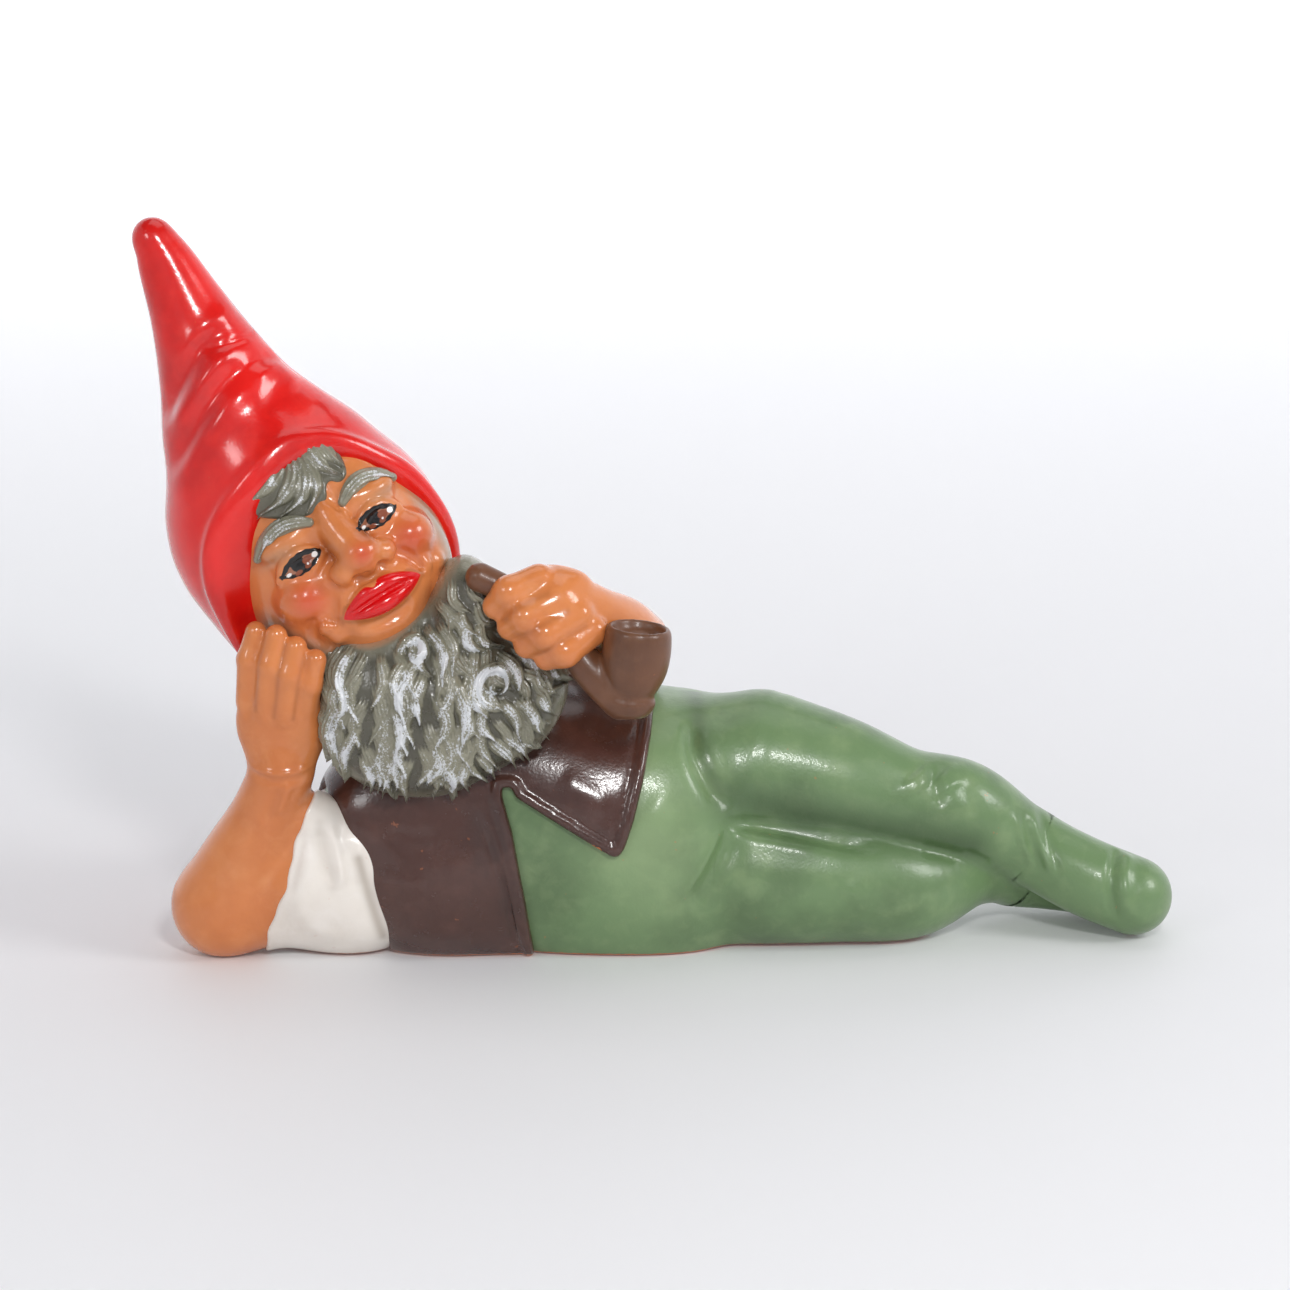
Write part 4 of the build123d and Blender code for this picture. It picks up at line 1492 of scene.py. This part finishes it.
forelock_outline = rounded(vec(
    # across and up on the forehead
    (-22, 25), (-10, 34), (3, 37), (14, 33), (14, 19), (9, 16), (5.5, 20), (2, 13),
    (-7, 13), (-15, 18),
), 2, closed=True)
forelock_locks = (
    (((2, 36), (-4, 31), (-11, 27), (-20, 25)), 3.0, 2.0),
    (((3, 36), (-1, 27), (-8, 21.5), (-17, 21)), 3.2, 2.2),
    (((3, 35), (1, 25), (-4, 18.5), (-12, 17.5)), 3.2, 2.2),
    (((4, 35), (3, 24), (1, 18), (-5, 14.5)), 2.8, 2.0),
    (((6, 36), (6, 28), (7, 23), (10, 18.5)), 2.6, 2.2),
    (((9, 34), (10, 29), (11, 24), (12, 20)), 2.4, 1.6),
)


def make_forelock():
    middle = head(-4, 24, 26)
    clay = Clay(middle - 30, middle + 30, 0.38)
    scalp_and_tufts = (
        ((0, 2, -2), (34, 35.5, 33.5), 0),
        ((0.5, 17, 14), (25, 15, 18), 8),
        ((-7, 25, 18), (14, 9, 12), 6),
        ((8, 27, 17), (8, 9, 11.5), 5),
    )
    add_balls(clay, head, scalp_and_tufts, 10)
    across, up, out = head.local(*clay.points())
    clay.field = soft_max(clay.field, inside_outline(across, up, forelock_outline), 1.6)
    clay.field = np.maximum(clay.field, 14.0 - out)
    inside_head = Ball(head(0, 2, -2), (31.5, 33, 31), head)
    clay.field = np.maximum(clay.field, -inside_head.distance(*clay.points()))
    hairs = Locks(head, forelock_locks, strand=1.7)

    def marks(points):
        result = no_marks(points)
        high = hairs.height(points)
        result["ridge"] = np.clip((high - 0.6) / 2.4, 0, 1) * 0.8
        result["shade"] = 0.7 * np.clip(1.0 - high / 0.7, 0, 1)
        return result

    piece("forelock", clay, "hair_enamel", marks, hairs.shape(clay), even=2)


def make_eyebrow(node, side):
    """One painted roll over an eye; the side is 1 for the wearer's left and -1 for the right."""
    middle = head(16 * side, 12, 26)
    clay = Clay(middle - 16, middle + 16, 0.3)
    joints = [
        (0.2 + side * across, up, out, radius)
        for across, up, out, radius in (
            (6, 11.5, 32, 1.5),
            (10, 14, 31.5, 2.2),
            (15, 15, 29.5, 2.5),
            (20.5, 13, 26.5, 2.3),
            (24.5, 9.5, 23.5, 1.4),
        )
    ]
    curl(clay, joints, 0.6)
    hairs = Locks(head, [([joint[:2] for joint in joints], 2.6, 1.0)], strand=1.2)

    def marks(points):
        result = no_marks(points)
        result["ridge"] = np.clip(hairs.height(points), 0, 1) * 0.7
        return result

    piece(node, clay, "hair_enamel", marks, hairs.shape(clay))


make_body()
make_head()
make_hat()
make_propping_arm()
make_pipe()
make_pipe_hand()
make_pipe_sleeve()
make_beard()
make_forelock()
make_eyebrow("right_eyebrow", -1)
make_eyebrow("left_eyebrow", 1)


# ------------------------------------------------------------------ room, light and camera
aim = Vector(front(-2.7, 92.7)) / 1000


def lamp(name, place, size, power):
    """A soft square light that faces the figure."""
    light = bpy.data.lights.new(name, "AREA")
    light.size, light.energy = size, power
    made = bpy.data.objects.new(name, light)
    made.location = place
    made.rotation_euler = (aim - Vector(place)).to_track_quat("-Z", "Y").to_euler()
    bpy.context.scene.collection.objects.link(made)


def paper_material():
    """Pale paper that glows a little, more towards the wall behind the figure."""
    paper = bpy.data.materials.new("paper")
    paper.use_nodes = True
    nodes, link = paper.node_tree.nodes, paper.node_tree.links.new
    shader = nodes["Principled BSDF"]
    shader.inputs["Base Color"].default_value = (0.80, 0.80, 0.81, 1)
    shader.inputs["Emission Color"].default_value = (0.95, 0.96, 1.0, 1)
    shader.inputs["Roughness"].default_value = 0.6
    where = nodes.new("ShaderNodeTexCoord")
    split = nodes.new("ShaderNodeSeparateXYZ")
    glow = nodes.new("ShaderNodeMapRange")
    for label, value in (("From Min", 0.1), ("From Max", 1.8), ("To Min", 0.05), ("To Max", 0.62)):
        glow.inputs[label].default_value = value
    link(where.outputs["Object"], split.inputs[0])
    link(split.outputs["Y"], glow.inputs[0])
    link(glow.outputs[0], shader.inputs["Emission Strength"])
    return paper


def make_floor(flat=2.0, bend=0.6, wall_top=2.8, sides=72):
    """A round floor that curves up into a wall on every side; lengths are in metres."""
    turns = np.linspace(0, math.pi / 2, 12)
    profile = [(0.02, 0.0)]
    profile += [(flat + bend * math.sin(a), bend - bend * math.cos(a)) for a in turns]
    profile.append((flat + bend, wall_top))
    verts = [
        (radius * math.cos(2 * math.pi * i / sides), radius * math.sin(2 * math.pi * i / sides), z)
        for radius, z in profile
        for i in range(sides)
    ]
    quads = [
        (row + i, row + (i + 1) % sides, row + sides + (i + 1) % sides, row + sides + i)
        for row in range(0, sides * (len(profile) - 1), sides)
        for i in range(sides)
    ]
    mesh = bpy.data.meshes.new("floor")
    mesh.from_pydata(verts, [], [tuple(range(sides))] + quads)
    mesh.polygons.foreach_set("use_smooth", [True] * len(mesh.polygons))
    mesh.materials.append(paper_material())
    floor = bpy.data.objects.new("floor", mesh)
    bpy.context.scene.collection.objects.link(floor)


make_floor()
for name, place, size, power in (
    # place and size in metres, power in watts
    ("key", (0.25, -1.3, 1.0), 0.22, 7.8),
    ("side", (1.2, -0.5, 0.9), 0.5, 7.6),
    ("fill", (-0.9, -1.1, 0.8), 0.3, 2.2),
    ("top", (0.1, 0.3, 1.5), 1.0, 3.4),
):
    lamp(name, place, size, power)

world = bpy.data.worlds.new("studio")
bpy.context.scene.world = world
world.use_nodes = True
sky = world.node_tree.nodes["Background"]
sky.inputs["Color"].default_value = (0.93, 0.94, 0.96, 1)
sky.inputs["Strength"].default_value = 0.14
bpy.context.scene.view_settings.view_transform = "Standard"

camera_data = bpy.data.cameras.new("camera")
camera_data.sensor_width, camera_data.lens = 36.0, 122.9  # millimetres
camera = bpy.data.objects.new("camera", camera_data)
bpy.context.scene.collection.objects.link(camera)
bpy.context.scene.camera = camera
away, elevation = 1.4, math.radians(14)
camera.location = aim + away * Vector((0, -math.cos(elevation), math.sin(elevation)))
camera.rotation_euler = (aim - camera.location).to_track_quat("-Z", "Y").to_euler()
